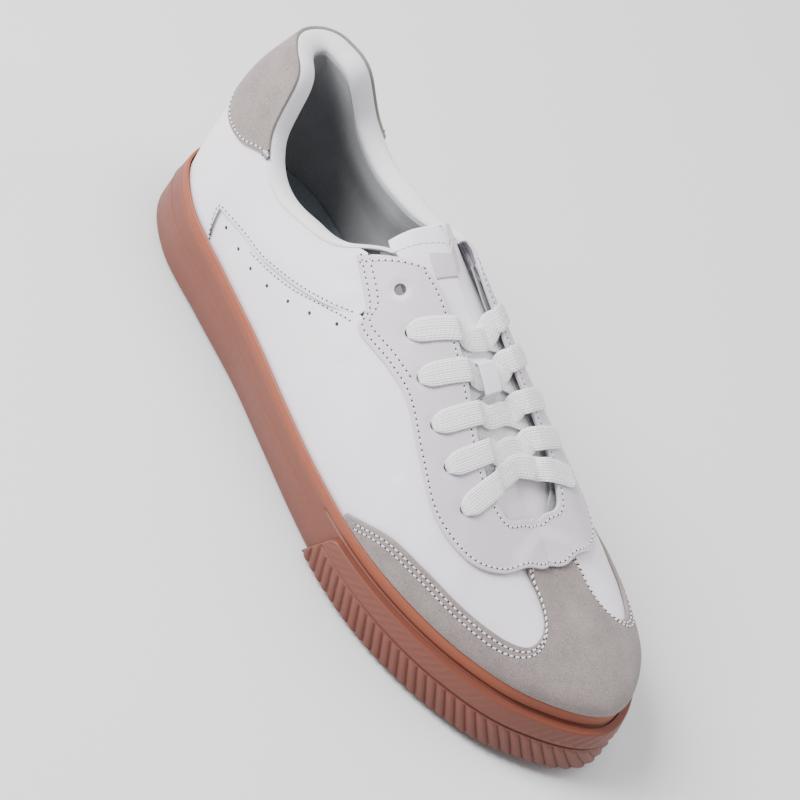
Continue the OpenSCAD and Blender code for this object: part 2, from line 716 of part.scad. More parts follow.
function lace_ring(u) =
  let (
    h = 0.15 / len(lace_route),
    c = curve(lace_route, u),
    at = over(c[0], c[1], c[2]),
    c1 = curve(lace_route, u + h),
    c0 = curve(lace_route, u - h),
    along_lace = unit(over(c1[0], c1[1], c1[2]) - over(c0[0], c0[1], c0[2])),
    lengthways = over(c[0] + step_q, c[1], c[2]) - over(c[0] - step_q, c[1], c[2]),
    wide = unit(lengthways - (lengthways * along_lace) * along_lace),
    thick = cross(wide, along_lace)
  )
  [for (p = lace_section) at + wide * p.x * c[3] + thick * p.y * c[4]];
module lace() {
  n = (len(lace_route) - 1) * lace_fine;
  color(weave) tube([for (i = [0:n]) lace_ring(i / n)]);
}

// free ends of the lace: from inside the second eyelets down to the footbed and forward.
// each point: position from the middle of the base, then the direction across the lace
tail_route_lateral = [
  [[-9, -26, 83], [1, 0, -0.3]], [[-9, -25, 79], [1, 0, -0.2]], [[-8, -24, 70], [1, 0.2, 0]],
  [[-7, -24, 63], [0.9, 0.5, 0]], [[-6, -23, 57], [0.8, 0.8, 0]], [[-5, -22, 49], [0.5, 0.9, 0]],
  [[-3, -22, 42], [0.2, 1, 0]], [[-1, -22, 36], [0.1, 1, 0]], [[3, -22, 31], [0, 1, 0]],
  [[8, -22, 27], [0, 1, 0]], [[15, -22, 24], [0, 1, 0]], [[23, -21, 23], [0, 1, 0]],
  [[31, -20, 23], [0.1, 1, 0]], [[40, -18, 23], [0.2, 1, 0]], [[49, -16, 23], [0.2, 1, 0]],
  [[66, -12, 23], [0.1, 1, 0]], [[82, -10, 23], [0, 1, 0]]
];
tail_route_medial = [
  [[-8, 15, 83], [1, 0, -0.3]], [[-8, 14, 79], [1, 0, -0.2]], [[-7, 15, 70], [1, -0.2, 0]],
  [[-7, 15, 63], [0.9, -0.5, 0]], [[-6, 16, 57], [0.8, -0.8, 0]], [[-5, 16, 49], [0.5, -0.9, 0]],
  [[-3, 16, 42], [0.2, -1, 0]], [[-1, 16, 36], [0.1, -1, 0]], [[3, 17, 31], [0, -1, 0]],
  [[8, 17, 27], [0, -1, 0]], [[15, 18, 24], [0, -1, 0]], [[23, 19, 23], [0, -1, 0]],
  [[31, 20, 23], [0, -1, 0]], [[40, 21, 23], [0, -1, 0]], [[49, 21, 23], [0, -1, 0]],
  [[65, 19, 23], [0.2, -1, 0]], [[81, 15, 23], [0.2, -1, 0]]
];
tail_fine = 2;
tail_narrows = 0.93;
function tail_ring(route, u) =
  let (
    h = 0.02,
    places = [for (r = route) r[0]],
    sides = [for (r = route) r[1]],
    at = curve(places, u),
    along_tail = unit(curve(places, u + h) - curve(places, u - h)),
    side = curve(sides, u),
    wide = unit(side - (side * along_tail) * along_tail),
    thick = cross(wide, along_tail),
    k = u < tail_narrows ? 1 : 1 - 0.5 * (u - tail_narrows) / (1 - tail_narrows)
  )
  [for (p = lace_section) at + origin_at + wide * p.x * lace_w * k + thick * p.y * lace_t * (2 - k)];
module tail(route) {
  n = (len(route) - 1) * tail_fine;
  color(weave) tube([for (i = [0:n]) tail_ring(route, i / n)]);
}
module lace_tail_lateral() { tail(tail_route_lateral); }
module lace_tail_medial() { tail(tail_route_medial); }
aglet_l = 22;
aglet_d = 4.2;
module aglet(route) {
  n = len(route);
  way = unit(route[n - 1][0] - route[n - 2][0]);
  color([0.9, 0.9, 0.92])
    translate(route[n - 1][0] + 0.2 * way)
      rotate([0, acos(way.z), atan2(way.y, way.x)]) {
        cylinder(h = aglet_l - 1.5, d = aglet_d, $fn = 24);
        translate([0, 0, aglet_l - 1.5]) cylinder(h = 1.5, d1 = aglet_d, d2 = aglet_d - 1.6, $fn = 24);
      }
}
module aglet_lateral() { aglet(tail_route_lateral); }
module aglet_medial() { aglet(tail_route_medial); }

outsole_cup();
forefoot_bumper();
tread();
midsole();
insole_board();
sockliner_foam();
sockliner_cover();
heel_counter();
toe_puff();
vamp();
toe_cap();
collar_panel_lateral();
collar_panel_medial();
lace_stay();
eyelet_backing_lateral();
eyelet_backing_medial();
heel_tab();
collar_foam();
collar_edge();
collar_lining();
quarter_lining_lateral();
quarter_lining_medial();
vamp_lining();
tongue_outer();
tongue_foam();
tongue_lining();
tongue_patch();
lace_keeper();
lace();
lace_tail_lateral();
lace_tail_medial();
aglet_lateral();
aglet_medial();
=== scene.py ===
"""Court shoe: fine skins, seams, lace and materials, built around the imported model."""
import math

import bpy
import numpy as np
from mathutils import Matrix, Vector


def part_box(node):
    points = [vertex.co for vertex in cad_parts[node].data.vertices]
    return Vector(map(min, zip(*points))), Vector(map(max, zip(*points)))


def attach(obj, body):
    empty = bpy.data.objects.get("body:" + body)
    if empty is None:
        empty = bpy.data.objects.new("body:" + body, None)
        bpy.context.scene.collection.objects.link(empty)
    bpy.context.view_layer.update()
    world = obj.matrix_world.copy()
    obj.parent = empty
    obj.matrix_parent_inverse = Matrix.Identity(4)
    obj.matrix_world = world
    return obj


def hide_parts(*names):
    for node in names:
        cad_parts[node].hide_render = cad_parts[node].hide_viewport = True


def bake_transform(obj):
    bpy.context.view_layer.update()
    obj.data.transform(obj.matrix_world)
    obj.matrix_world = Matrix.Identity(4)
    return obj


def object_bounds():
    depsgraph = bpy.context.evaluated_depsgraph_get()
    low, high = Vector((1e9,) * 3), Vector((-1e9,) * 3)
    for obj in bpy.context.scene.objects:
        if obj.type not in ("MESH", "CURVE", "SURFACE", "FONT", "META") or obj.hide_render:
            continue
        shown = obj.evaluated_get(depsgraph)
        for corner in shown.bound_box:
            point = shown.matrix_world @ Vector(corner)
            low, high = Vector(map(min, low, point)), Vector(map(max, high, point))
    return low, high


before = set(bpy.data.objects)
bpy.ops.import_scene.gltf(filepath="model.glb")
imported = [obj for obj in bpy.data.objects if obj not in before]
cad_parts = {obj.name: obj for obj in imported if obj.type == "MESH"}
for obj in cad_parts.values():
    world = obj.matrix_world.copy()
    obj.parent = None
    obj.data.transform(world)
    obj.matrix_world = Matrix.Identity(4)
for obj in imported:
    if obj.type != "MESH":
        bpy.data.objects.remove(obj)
cad_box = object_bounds()

# ---- camera: first, because the cords are measured against its view ----

VIEW_AZIMUTH = math.radians(26.5)
VIEW_ELEVATION = math.radians(42.5)
VIEW_ROLL = math.radians(40.88)
VIEW_DISTANCE = 0.896
LENS = 104.7


def add_camera():
    low, high = (Vector(v) for v in cad_box)
    middle = (low + high) / 2
    target = Vector((middle.x - 0.0053, middle.y - 0.0060, middle.z - 0.0126))
    back = Vector((
        math.sin(VIEW_AZIMUTH) * math.cos(VIEW_ELEVATION),
        -math.cos(VIEW_AZIMUTH) * math.cos(VIEW_ELEVATION),
        math.sin(VIEW_ELEVATION),
    ))
    data = bpy.data.cameras.new("camera")
    data.lens = LENS
    data.sensor_width = 36
    data.clip_start = 0.05
    data.dof.use_dof = False
    camera = bpy.data.objects.new("camera", data)
    right = Vector((0, 0, 1)).cross(back).normalized()
    up = back.cross(right)
    turned_right = right * math.cos(VIEW_ROLL) + up * math.sin(VIEW_ROLL)
    turned_up = up * math.cos(VIEW_ROLL) - right * math.sin(VIEW_ROLL)
    rotation = Matrix((turned_right, turned_up, back)).transposed().to_4x4()
    camera.matrix_world = Matrix.Translation(target + back * VIEW_DISTANCE) @ rotation
    bpy.context.scene.collection.objects.link(camera)
    bpy.context.scene.camera = camera


add_camera()

# ---- the last's surface, in millimetres from the heel, as in the CAD model ----

RIM_LATERAL = [
    (3, -1), (10, -24), (33, -36), (64, -38.5), (95, -40.5), (126, -44), (157, -46.5), (188, -46),
    (216, -40), (242, -29), (265, -12), (281, 15),
]
RIM_MEDIAL = [
    (3, -1), (10, 20), (33, 32), (64, 33), (95, 31), (126, 33), (157, 39), (188, 46), (216, 49.5),
    (243, 49.5), (267, 39.5), (281, 15),
]
SPANS = len(RIM_LATERAL) - 1
RIM = np.array(RIM_LATERAL + RIM_MEDIAL[SPANS - 1:0:-1], float)
RIM_HEIGHT = [30, 30, 29.5, 29, 28.5, 28, 28, 28.5, 29.5, 31, 32]
SPINE_HEIGHT = [135, 133, 123, 112, 101.5, 91, 79, 67, 55.5, 48, 46]
SPINE_SIDE = [-1, -1, -1, -1, -0.5, 1.5, 3, 4.5, 7, 10, 12]
SPINE_ENDS = (48, 246)
INWARD_LEAN = [0.77, 0.85, 0.77, 0.52, 0.3, 0.2, 0.16, 0.11, 0.05, 0, 0]
LEAN_POWER = 1.6
SQUARENESS = [3.4, 3.4, 3.4, 3.4, 3.2, 2.9, 2.6, 2.3, 2, 1.9, 1.9]
FULLNESS = [2.5, 2.5, 2, 1.5, 1, 1, 1, 1.5, 2, 2.5, 2.5]
WALL_FLARE = [3, 3, 2.8, 1.6, 0.2, 0.4, 2, 4, 5, 6.2, 6.6]
TOPLINE_STEP = 0.05
TOPLINE_LATERAL = [0.4, 0.403, 0.41, 0.405, 0.31, 0.277, 0.322, 0.41, 0.62]
TOPLINE_MEDIAL = [0.4, 0.405, 0.415, 0.42, 0.335, 0.315, 0.36, 0.44, 0.62]
BELOW = 0.1
STEP_Q = 0.004
STEP_T = 0.01
RIM_CLEAR = 0.012


def blend4(a, b, c, d, f):
    return 0.5 * (2 * b + (c - a) * f + (2 * a - 5 * b + 4 * c - d) * f**2 + (3 * b - a - 3 * c + d) * f**3)


def along(table, u):
    """Smooth value of a table at 0..1, level at both ends."""
    v = np.asarray(table, float)
    v = np.concatenate([v[1:2], v, v[-2:-1]])
    n = len(table) - 1
    s = np.clip(u, 0, 1) * n
    i = np.minimum(np.floor(s).astype(int), n - 1)
    return blend4(v[i], v[i + 1], v[i + 2], v[i + 3], s - i)


def curve(points, u):
    """Smooth open curve through points, or rows of points, at 0..1."""
    v = np.asarray(points, float)
    v = np.concatenate([2 * v[:1] - v[1:2], v, 2 * v[-1:] - v[-2:-1]])
    n = len(points) - 1
    s = np.clip(u, 0, 1) * n
    i = np.minimum(np.floor(s).astype(int), n - 1)
    return blend4(v[i], v[i + 1], v[i + 2], v[i + 3], (s - i).reshape(s.shape + (1,) * (v.ndim - 1)))


def ease(x):
    c = np.clip(x, 0, 1)
    return c * c * (3 - 2 * c)


def bell(distance, width):
    return np.exp(-((distance / width) ** 2))


def round_over(x):
    """Quarter circle: 0 at an edge, level from x = 1."""
    return np.sqrt(1 - (1 - np.clip(x, 0, 1)) ** 2)


def run_along(points):
    """Distance travelled at each point of a line."""
    return np.concatenate([[0], np.cumsum(np.linalg.norm(np.diff(points, axis=0), axis=1))])


def unit(v):
    return v / np.linalg.norm(v, axis=-1, keepdims=True)


def ring(q):
    return np.mod(q, 2)


def lengthwise(q):
    m = ring(q)
    return np.where(m <= 1, m, 2 - m)


def rim(q):
    n = len(RIM)
    s = ring(q) * SPANS
    i = np.floor(s).astype(int)
    a, b, c, d = (RIM[(i + k) % n] for k in (-1, 0, 1, 2))
    return blend4(a, b, c, d, (s - i)[..., None])


def spring(x):
    return 3.5 * (np.maximum(x - 215, 0) / 76) ** 2


def board_top(x):
    return 18.5 - 6 * ease((x - 60) / 130) + spring(x) + 1.6


def last(q, t):
    """Point of the surface: q runs round the shoe, t from 0 at the rim to 1 on the spine."""
    q, t = np.broadcast_arrays(np.asarray(q, float), np.asarray(t, float))
    q, t = np.where(t > 1, 2 - q, q), np.where(t > 1, 2 - t, t)
    a = lengthwise(q)
    r = rim(q)
    heel, toe = RIM[0][0], RIM_LATERAL[-1][0]
    spine_x = SPINE_ENDS[0] + (SPINE_ENDS[1] - SPINE_ENDS[0]) * (r[..., 0] - heel) / (toe - heel)
    spine_y = along(SPINE_SIDE, a)
    base = along(RIM_HEIGHT, a)
    lean = along(INWARD_LEAN, a)
    p = along(SQUARENESS, a)
    angle = np.radians(90) * np.maximum(t, 0)
    c = np.maximum(np.cos(angle), 1e-9)
    s = np.maximum(np.sin(angle), 1e-9)
    d = (c**p + s**p) ** (1 / p)
    out, up = c / d, s / d
    swell = along(FULLNESS, a) * np.sin(np.pi * np.minimum(1.2 * up, 1))
    inward = lean * up**LEAN_POWER + (1 - lean) * (1 - out)
    away = unit(np.stack([r[..., 0] - spine_x, r[..., 1] - spine_y], -1) + 1e-9)
    down = (base - board_top(r[..., 0]) - 0.3) * np.minimum(t, 0) / BELOW
    return np.stack([
        r[..., 0] + (spine_x - r[..., 0]) * (1 - out) + swell * away[..., 0],
        r[..., 1] + (spine_y - r[..., 1]) * inward + swell * away[..., 1],
        base + (along(SPINE_HEIGHT, a) - base) * up + down,
    ], -1)


def outward(q, t):
    dq = last(q + STEP_Q, t) - last(q - STEP_Q, t)
    dt = last(q, t + STEP_T) - last(q, t - STEP_T)
    return unit(np.cross(dq, dt))


def skin(q, t, off=0.0):
    """Point at a distance off the surface, positive outwards."""
    q, t = np.broadcast_arrays(np.asarray(q, float), np.asarray(t, float))
    q, t = np.where(t > 1, 2 - q, q), np.where(t > 1, 2 - t, t)
    n = outward(q, np.maximum(t, RIM_CLEAR))
    flat = n.copy()
    flat[..., 2] = 0
    n = np.where((t < RIM_CLEAR)[..., None], unit(flat), n)
    return last(q, t) + np.asarray(off)[..., None] * n


def topline(q):
    a = lengthwise(q) / TOPLINE_STEP / (len(TOPLINE_LATERAL) - 1)
    return np.where(ring(q) <= 1, along(TOPLINE_LATERAL, a), along(TOPLINE_MEDIAL, a))


COLLAR_PAD = 5.6
PAD_FADES = (0.3, 0.4)


def padding(q, t):
    fade = 1 - ease((lengthwise(q) - PAD_FADES[0]) / (PAD_FADES[1] - PAD_FADES[0]))
    return COLLAR_PAD * ease((t / topline(q) - 0.35) / 0.5) * fade


def flare(q):
    return along(WALL_FLARE, lengthwise(q))


def rim_z(q):
    return along(RIM_HEIGHT, lengthwise(q))


def beside(q, off, z):
    """Point at a distance outside the rim, at height z."""
    p = rim(q)
    d = unit(rim(q + STEP_Q) - rim(q - STEP_Q))
    e = p + np.stack([d[..., 1], -d[..., 0]], -1) * np.asarray(off)[..., None]
    return np.concatenate([e, np.broadcast_to(z, e.shape[:-1])[..., None]], -1)


def underside(x):
    return 1.5 + spring(x) + 1.6 * (np.maximum(14 - x, 0) / 14) ** 2


def find_origin():
    """Where the CAD frame's origin lies in these millimetres, from the cup's own box."""
    q = np.linspace(0, 2, 2881)
    rings = [beside(q, o, 0)[:, :2] for o in (flare(q), np.full_like(q, 2.0))]
    xy = np.concatenate(rings)
    low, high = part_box("outsole_cup")
    x = (xy[:, 0].min() - low[0] * 1000 + xy[:, 0].max() - high[0] * 1000) / 2
    y = (xy[:, 1].min() - low[1] * 1000 + xy[:, 1].max() - high[1] * 1000) / 2
    return np.array([x, y, 0])


ORIGIN = find_origin()


def placed(points):
    return (np.asarray(points, float) - ORIGIN) / 1000


# ---- materials ----


class Paint:
    """A principled material with its nodes at hand."""

    def __init__(self, name, color, rough, **sockets):
        self.material = bpy.data.materials.new(name)
        self.material.use_nodes = True
        self.tree = self.material.node_tree
        self.shader = self.tree.nodes["Principled BSDF"]
        self.shader.inputs["Base Color"].default_value = (*color, 1)
        self.shader.inputs["Roughness"].default_value = rough
        for key, value in sockets.items():
            self.shader.inputs[key.replace("_", " ")].default_value = value
        self.normal = None

    def node(self, kind, **settings):
        made = self.tree.nodes.new(kind)
        for key, value in settings.items():
            if key in made.inputs:
                made.inputs[key].default_value = value
            else:
                setattr(made, key, value)
        return made

    def link(self, a, b):
        self.tree.links.new(a, b)

    def coordinates(self, output="Object"):
        return self.node("ShaderNodeTexCoord").outputs[output]

    def noise(self, scale, detail=3.0, rough=0.55):
        made = self.node("ShaderNodeTexNoise", Scale=scale, Detail=detail, Roughness=rough)
        self.link(self.coordinates(), made.inputs["Vector"])
        return made.outputs["Fac"]

    def cells(self, scale, randomness=1.0):
        made = self.node("ShaderNodeTexVoronoi", Scale=scale, Randomness=randomness)
        self.link(self.coordinates(), made.inputs["Vector"])
        return made.outputs["Distance"]

    def math(self, operation, a, b=0.0, c=0.0):
        made = self.node("ShaderNodeMath", operation=operation)
        for socket, value in zip(made.inputs, (a, b, c)):
            if isinstance(value, (int, float)):
                socket.default_value = value
            else:
                self.link(value, socket)
        return made.outputs[0]

    def ramp(self, source, stops):
        made = self.node("ShaderNodeValToRGB")
        elements = made.color_ramp.elements
        while len(elements) < len(stops):
            elements.new(0.5)
        for element, (place, color) in zip(elements, stops):
            element.position = place
            element.color = (*color, 1)
        self.link(source, made.inputs["Fac"])
        return made.outputs["Color"]

    def mix(self, share, a, b):
        made = self.node("ShaderNodeMix", data_type="RGBA")
        made.inputs[0].default_value = share
        self.link(a, made.inputs[6])
        self.link(b, made.inputs[7])
        return made.outputs[2]

    def bump(self, height, distance, strength):
        made = self.node("ShaderNodeBump", Strength=strength, Distance=distance)
        self.link(height, made.inputs["Height"])
        if self.normal:
            self.link(self.normal, made.inputs["Normal"])
        self.normal = made.outputs["Normal"]
        self.link(self.normal, self.shader.inputs["Normal"])

    def color(self, source):
        self.link(source, self.shader.inputs["Base Color"])

    def rough(self, source, low, high):
        made = self.node("ShaderNodeMapRange")
        self.link(source, made.inputs["Value"])
        made.inputs["To Min"].default_value = low
        made.inputs["To Max"].default_value = high
        self.link(made.outputs["Result"], self.shader.inputs["Roughness"])


def smooth_leather(name, light, dark):
    p = Paint(name, light, 0.42, Coat_Weight=0.08, Coat_Roughness=0.3)
    p.color(p.ramp(p.noise(55, 5), [(0.3, dark), (0.7, light)]))
    p.rough(p.noise(420, 3), 0.36, 0.52)
    p.bump(p.noise(38, 2), 0.0012, 0.35)
    p.bump(p.cells(1150), 0.00012, 0.32)
    p.bump(p.noise(2600, 2), 0.00006, 0.3)
    return p.material


def suede_leather():
    p = Paint("suede", (0.33, 0.3, 0.27), 0.95, Sheen_Weight=0.2, Sheen_Roughness=0.45)
    speckle = p.ramp(p.noise(2300, 4, 0.7), [(0.36, (0.11, 0.088, 0.085)), (0.64, (0.44, 0.37, 0.36))])
    brushed = p.ramp(p.noise(95, 4, 0.6), [(0.3, (0.2, 0.165, 0.16)), (0.75, (0.34, 0.285, 0.275))])
    p.color(p.mix(0.5, speckle, brushed))
    p.bump(p.noise(1300, 5, 0.75), 0.0004, 0.75)
    p.bump(p.noise(3600, 3, 0.8), 0.00016, 0.7)
    return p.material


def gum_rubber(name, use_height=True):
    low, middle, lip = (0.115, 0.035, 0.023), (0.165, 0.05, 0.032), (0.27, 0.07, 0.032)
    p = Paint(name, middle, 0.5, Subsurface_Weight=0.08, Subsurface_Scale=0.004, Specular_IOR_Level=0.42)
    p.shader.inputs["Subsurface Radius"].default_value = (1.0, 0.35, 0.2)
    blotch = p.noise(60, 4)
    if use_height:
        split = p.node("ShaderNodeSeparateXYZ")
        p.link(p.coordinates("UV"), split.inputs["Vector"])
        height = p.math("MULTIPLY_ADD", blotch, 0.08, split.outputs["Y"])
        p.color(p.ramp(height, [(0.0, low), (0.45, middle), (0.82, middle), (0.97, lip)]))
    else:
        p.color(p.ramp(blotch, [(0.3, low), (0.7, middle)]))
    p.rough(p.noise(300, 4), 0.4, 0.6)
    p.bump(p.noise(900, 4, 0.65), 0.00008, 0.5)
    p.bump(p.noise(70, 2), 0.0008, 0.18)
    return p.material


def woven_lace():
    p = Paint("lace_weave", (0.86, 0.86, 0.87), 0.8, Sheen_Weight=0.25, Sheen_Roughness=0.4)
    split = p.node("ShaderNodeSeparateXYZ")
    p.link(p.coordinates("UV"), split.inputs["Vector"])
    run, side = split.outputs["X"], split.outputs["Y"]
    lean = p.math("MULTIPLY", p.math("ABSOLUTE", p.math("SUBTRACT", side, 0.5)), 3.0)
    twill = p.math("PINGPONG", p.math("MULTIPLY_ADD", run, 1100.0, lean), 1.0)
    ribs = p.math("PINGPONG", p.math("MULTIPLY", side, 22.0), 1.0)
    fuzz = p.noise(3000, 3)
    rough_twill = p.math("MULTIPLY_ADD", twill, 0.6, p.math("MULTIPLY", fuzz, 0.5))
    cloth = p.math("MULTIPLY_ADD", ribs, 0.9, rough_twill)
    p.color(p.ramp(cloth, [(0.2, (0.66, 0.66, 0.69)), (0.95, (0.9, 0.9, 0.91))]))
    p.bump(cloth, 0.00022, 0.7)
    return p.material


def knit(name, light, dark, cell):
    p = Paint(name, light, 0.9, Sheen_Weight=0.2, Sheen_Roughness=0.5)
    fuzz = p.math("MULTIPLY", p.noise(cell * 2.2, 3), 0.5)
    weave = p.math("MULTIPLY_ADD", p.cells(cell, 0.35), 1.0, fuzz)
    stitch_tone = p.ramp(weave, [(0.2, dark), (0.9, light)])
    p.color(p.mix(0.35, stitch_tone, p.ramp(p.noise(70, 4), [(0.3, dark), (0.7, light)])))
    p.bump(weave, 0.00025, 0.6)
    p.bump(p.noise(45, 2), 0.0012, 0.3)
    return p.material


def plain(name, color, rough, grain=800.0, depth=0.0001):
    p = Paint(name, color, rough)
    darker = tuple(0.8 * c for c in color)
    p.color(p.ramp(p.noise(grain / 4, 4), [(0.3, darker), (0.7, color)]))
    p.bump(p.noise(grain, 3), depth, 0.5)
    return p.material


def film(name, color):
    p = Paint(name, color, 0.18, Coat_Weight=0.6, Coat_Roughness=0.1)
    p.color(p.ramp(p.noise(500, 3), [(0.3, tuple(0.85 * c for c in color)), (0.7, color)]))
    p.bump(p.noise(900, 2), 0.00005, 0.3)
    return p.material


LEATHER = smooth_leather("white_leather", (0.89, 0.835, 0.895), (0.85, 0.795, 0.86))
# Darker copy of the white leather for the lace stay and the tongue label: painted shade, where these parts
# lie in shade.
LEATHER_PAINTED_SHADE = smooth_leather("leather_painted_shade", (0.68, 0.61, 0.68), (0.63, 0.56, 0.635))
CUT_EDGE = plain("cut_edge", (0.5, 0.49, 0.53), 0.9, 1500)
RAW_EDGE = plain("raw_edge", (0.3, 0.29, 0.34), 0.9, 1500)
SUEDE = suede_leather()
SUEDE_EDGE = plain("suede_edge", (0.25, 0.22, 0.2), 0.95, 1500)
GUM = gum_rubber("gum_rubber")
GUM_TREAD = gum_rubber("gum_tread", use_height=False)
LACE_WEAVE = woven_lace()
EDGE_KNIT = knit("edge_textile", (0.8, 0.79, 0.83), (0.72, 0.71, 0.75), 1500)
LINING = knit("lining_textile", (0.34, 0.345, 0.355), (0.28, 0.285, 0.295), 1100)
FOOTBED = knit("footbed_textile", (0.27, 0.3, 0.335), (0.2, 0.225, 0.255), 800)
THREAD = plain("thread", (0.88, 0.86, 0.89), 0.7, 4000, 0.00008)
# Near-black plugs in each needle hole and air hole: painted shade, where the hole is in shade.
HOLE_PAINTED_SHADE = plain("hole_painted_shade", (0.035, 0.033, 0.045), 0.9)
FOAM = plain("foam", (0.72, 0.7, 0.62), 0.95, 1200, 0.0003)
BOARD = plain("fibre_board", (0.55, 0.47, 0.35), 0.9, 900)
STIFFENER = plain("stiffener", (0.6, 0.58, 0.52), 0.7, 700)
TAPE = plain("backing_tape", (0.62, 0.62, 0.66), 0.85, 1800, 0.0002)
AGLET = film("aglet_plastic", (0.85, 0.86, 0.88))

# ---- meshes ----


def piece(
    name, points, faces, paints, body="shoe", slot=None, replaces=(), uv=None, kinds=None, sharp=38.0
):
    """A mesh object from points in design millimetres, riding on a body."""
    mesh = bpy.data.meshes.new(name)
    mesh.from_pydata(placed(points).tolist(), [], [tuple(int(i) for i in f) for f in faces])
    for paint in paints:
        mesh.materials.append(paint)
    if kinds is not None:
        mesh.polygons.foreach_set("material_index", np.asarray(kinds, np.int32))
    if uv is not None:
        layer = mesh.uv_layers.new(name="flow")
        index = np.empty(len(mesh.loops), np.int32)
        mesh.loops.foreach_get("vertex_index", index)
        layer.data.foreach_set("uv", np.asarray(uv, np.float32)[index].ravel())
    mesh.shade_smooth()
    mesh.set_sharp_from_angle(angle=math.radians(sharp))
    mesh.update()
    obj = bpy.data.objects.new(name, mesh)
    bpy.context.scene.collection.objects.link(obj)
    if signed_volume(mesh) < 0:
        mesh.flip_normals()
    if replaces:
        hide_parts(*replaces)
    if body:
        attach(obj, body)
    return obj


def signed_volume(mesh):
    mesh.calc_loop_triangles()
    index = np.empty(len(mesh.loop_triangles) * 3, np.int32)
    mesh.loop_triangles.foreach_get("vertices", index)
    co = np.empty(len(mesh.vertices) * 3)
    mesh.vertices.foreach_get("co", co)
    a, b, c = co.reshape(-1, 3)[index.reshape(-1, 3)].transpose(1, 0, 2)
    return float(np.einsum("ij,ij->i", a, np.cross(b, c)).sum())


def grid_faces(nu, nv, first=0, flip=False):
    i, j = np.meshgrid(np.arange(nu - 1), np.arange(nv - 1), indexing="ij")
    a = first + i * nv + j
    quad = np.stack([a, a + 1, a + nv + 1, a + nv], -1).reshape(-1, 4)
    return quad[:, ::-1] if flip else quad


def slab(outer, inner):
    """Points, faces and a cut-edge flag of the closed sheet between two grids."""
    nu, nv = outer.shape[:2]
    m = nu * nv
    faces = [grid_faces(nu, nv), grid_faces(nu, nv, m, True)]
    loop = np.concatenate([
        np.arange(nv), np.arange(1, nu) * nv + nv - 1,
        (nu - 1) * nv + np.arange(nv - 2, -1, -1), np.arange(nu - 2, 0, -1) * nv,
    ])
    following = np.roll(loop, -1)
    wall = np.stack([loop, m + loop, m + following, following], -1)
    edges = np.repeat([0, 1], [2 * len(faces[0]), len(wall)])
    points = np.concatenate([outer.reshape(-1, 3), inner.reshape(-1, 3)])
    return points, np.concatenate(faces + [wall]), edges


ROLL_STEPS = np.array([0, 0.05, 0.16, 0.34, 0.62, 1.0])


def stations(length, count, r):
    """Shares 0..1 with fine steps over the rounded edge r at both ends, for each length."""
    e = np.minimum(r / np.asarray(length, float), 0.2)[..., None]
    middle = e + (1 - 2 * e) * np.linspace(0, 1, count)[1:-1]
    return np.concatenate([e * ROLL_STEPS, middle, 1 - e * ROLL_STEPS[::-1]], -1)


def level(q, t):
    return 0 * q


class Sheet:
    """A cut of leather or cloth on the last: place(u, v) gives (q, t), v runs between the long edges."""

    def __init__(self, place, lo, hi, lift=level, sink=level):
        self.place = place
        self.lo = lo
        self.hi = hi
        self.lift = lift
        self.sink = sink

    def widths(self, u):
        v = np.linspace(0, 1, 17)
        q, t = self.place(u[:, None], v[None, :])
        return np.linalg.norm(np.diff(skin(q, t), axis=1), axis=-1).sum(1)

    def length(self):
        u = np.linspace(0, 1, 161)
        q, t = self.place(u, np.full_like(u, 0.5))
        return np.linalg.norm(np.diff(skin(q, t), axis=0), axis=-1).sum()

    def grid(self, nu, nv, r):
        """Mesh grid (q, t) and the distance of each point to the nearest edge."""
        length = self.length()
        u = stations(length, nu, r)
        width = self.widths(u)
        v = stations(width, nv, r)
        q, t = self.place(u[:, None] + 0 * v, v)
        reach = np.minimum(np.minimum(v, 1 - v) * width[:, None], (np.minimum(u, 1 - u) * length)[:, None])
        return q, t, reach

    def make(self, name, nu, nv, paints, r=0.55, **options):
        q, t, reach = self.grid(nu, nv, r)
        off = self.lift(q, t) - self.sink(q, t)
        drop = r * (1 - round_over(reach / r))
        points, faces, edges = slab(skin(q, t, self.hi - drop + off), skin(q, t, self.lo + off))
        return piece(name, points, faces, paints, kinds=edges if len(paints) == 2 else None, **options)

    def inset(self, distance, side="low", lo=0.0, hi=1.0):
        """(q, t, offset) along a line at a distance in from one long edge."""
        u = np.linspace(lo, hi, 400)
        share = distance / self.widths(u)
        v = share if side == "low" else 1 - share
        return self._line(u, v)

    def across(self, distance, side="start", lo=0.0, hi=1.0):
        """The same, in from a short end."""
        v = np.linspace(lo, hi, 200)
        u = np.full_like(v, distance / self.length())
        return self._line(u if side == "start" else 1 - u, v)

    def _line(self, u, v):
        """Points at the shares (u, v) of the piece, on its face."""
        q, t = self.place(u, v)
        return q, t, self.hi + self.lift(q, t) - self.sink(q, t)


def tube(rings, around, runs):
    """Points, faces and UV of a closed tube: rings (n, k, 3)."""
    n, k = rings.shape[:2]
    i, j = np.meshgrid(np.arange(n - 1), np.arange(k), indexing="ij")
    jn = (j + 1) % k
    wall = np.stack([i * k + j, i * k + jn, (i + 1) * k + jn, (i + 1) * k + j], -1).reshape(-1, 4)
    faces = [tuple(f) for f in wall] + [tuple(range(k - 1, -1, -1)), tuple((n - 1) * k + np.arange(k))]
    uv = np.stack([np.repeat(runs, k), np.tile(around, n)], -1)
    return rings.reshape(-1, 3), faces, uv


# ---- stitches ----

STITCH_PITCH = 2.3
STITCH_SHARE = 0.74
STITCH_POINTS = 7
STITCH_SIDES = 6
HOLE_SIDES = 8
PIT_AXIS = np.array([0.3, 0.9, 0.2])


def across_turn(first, second, sides):
    """Unit circles between two directions."""
    turn = np.linspace(0, 2 * np.pi, sides, endpoint=False)
    return first[..., None, :] * np.cos(turn)[:, None] + second[..., None, :] * np.sin(turn)[:, None]


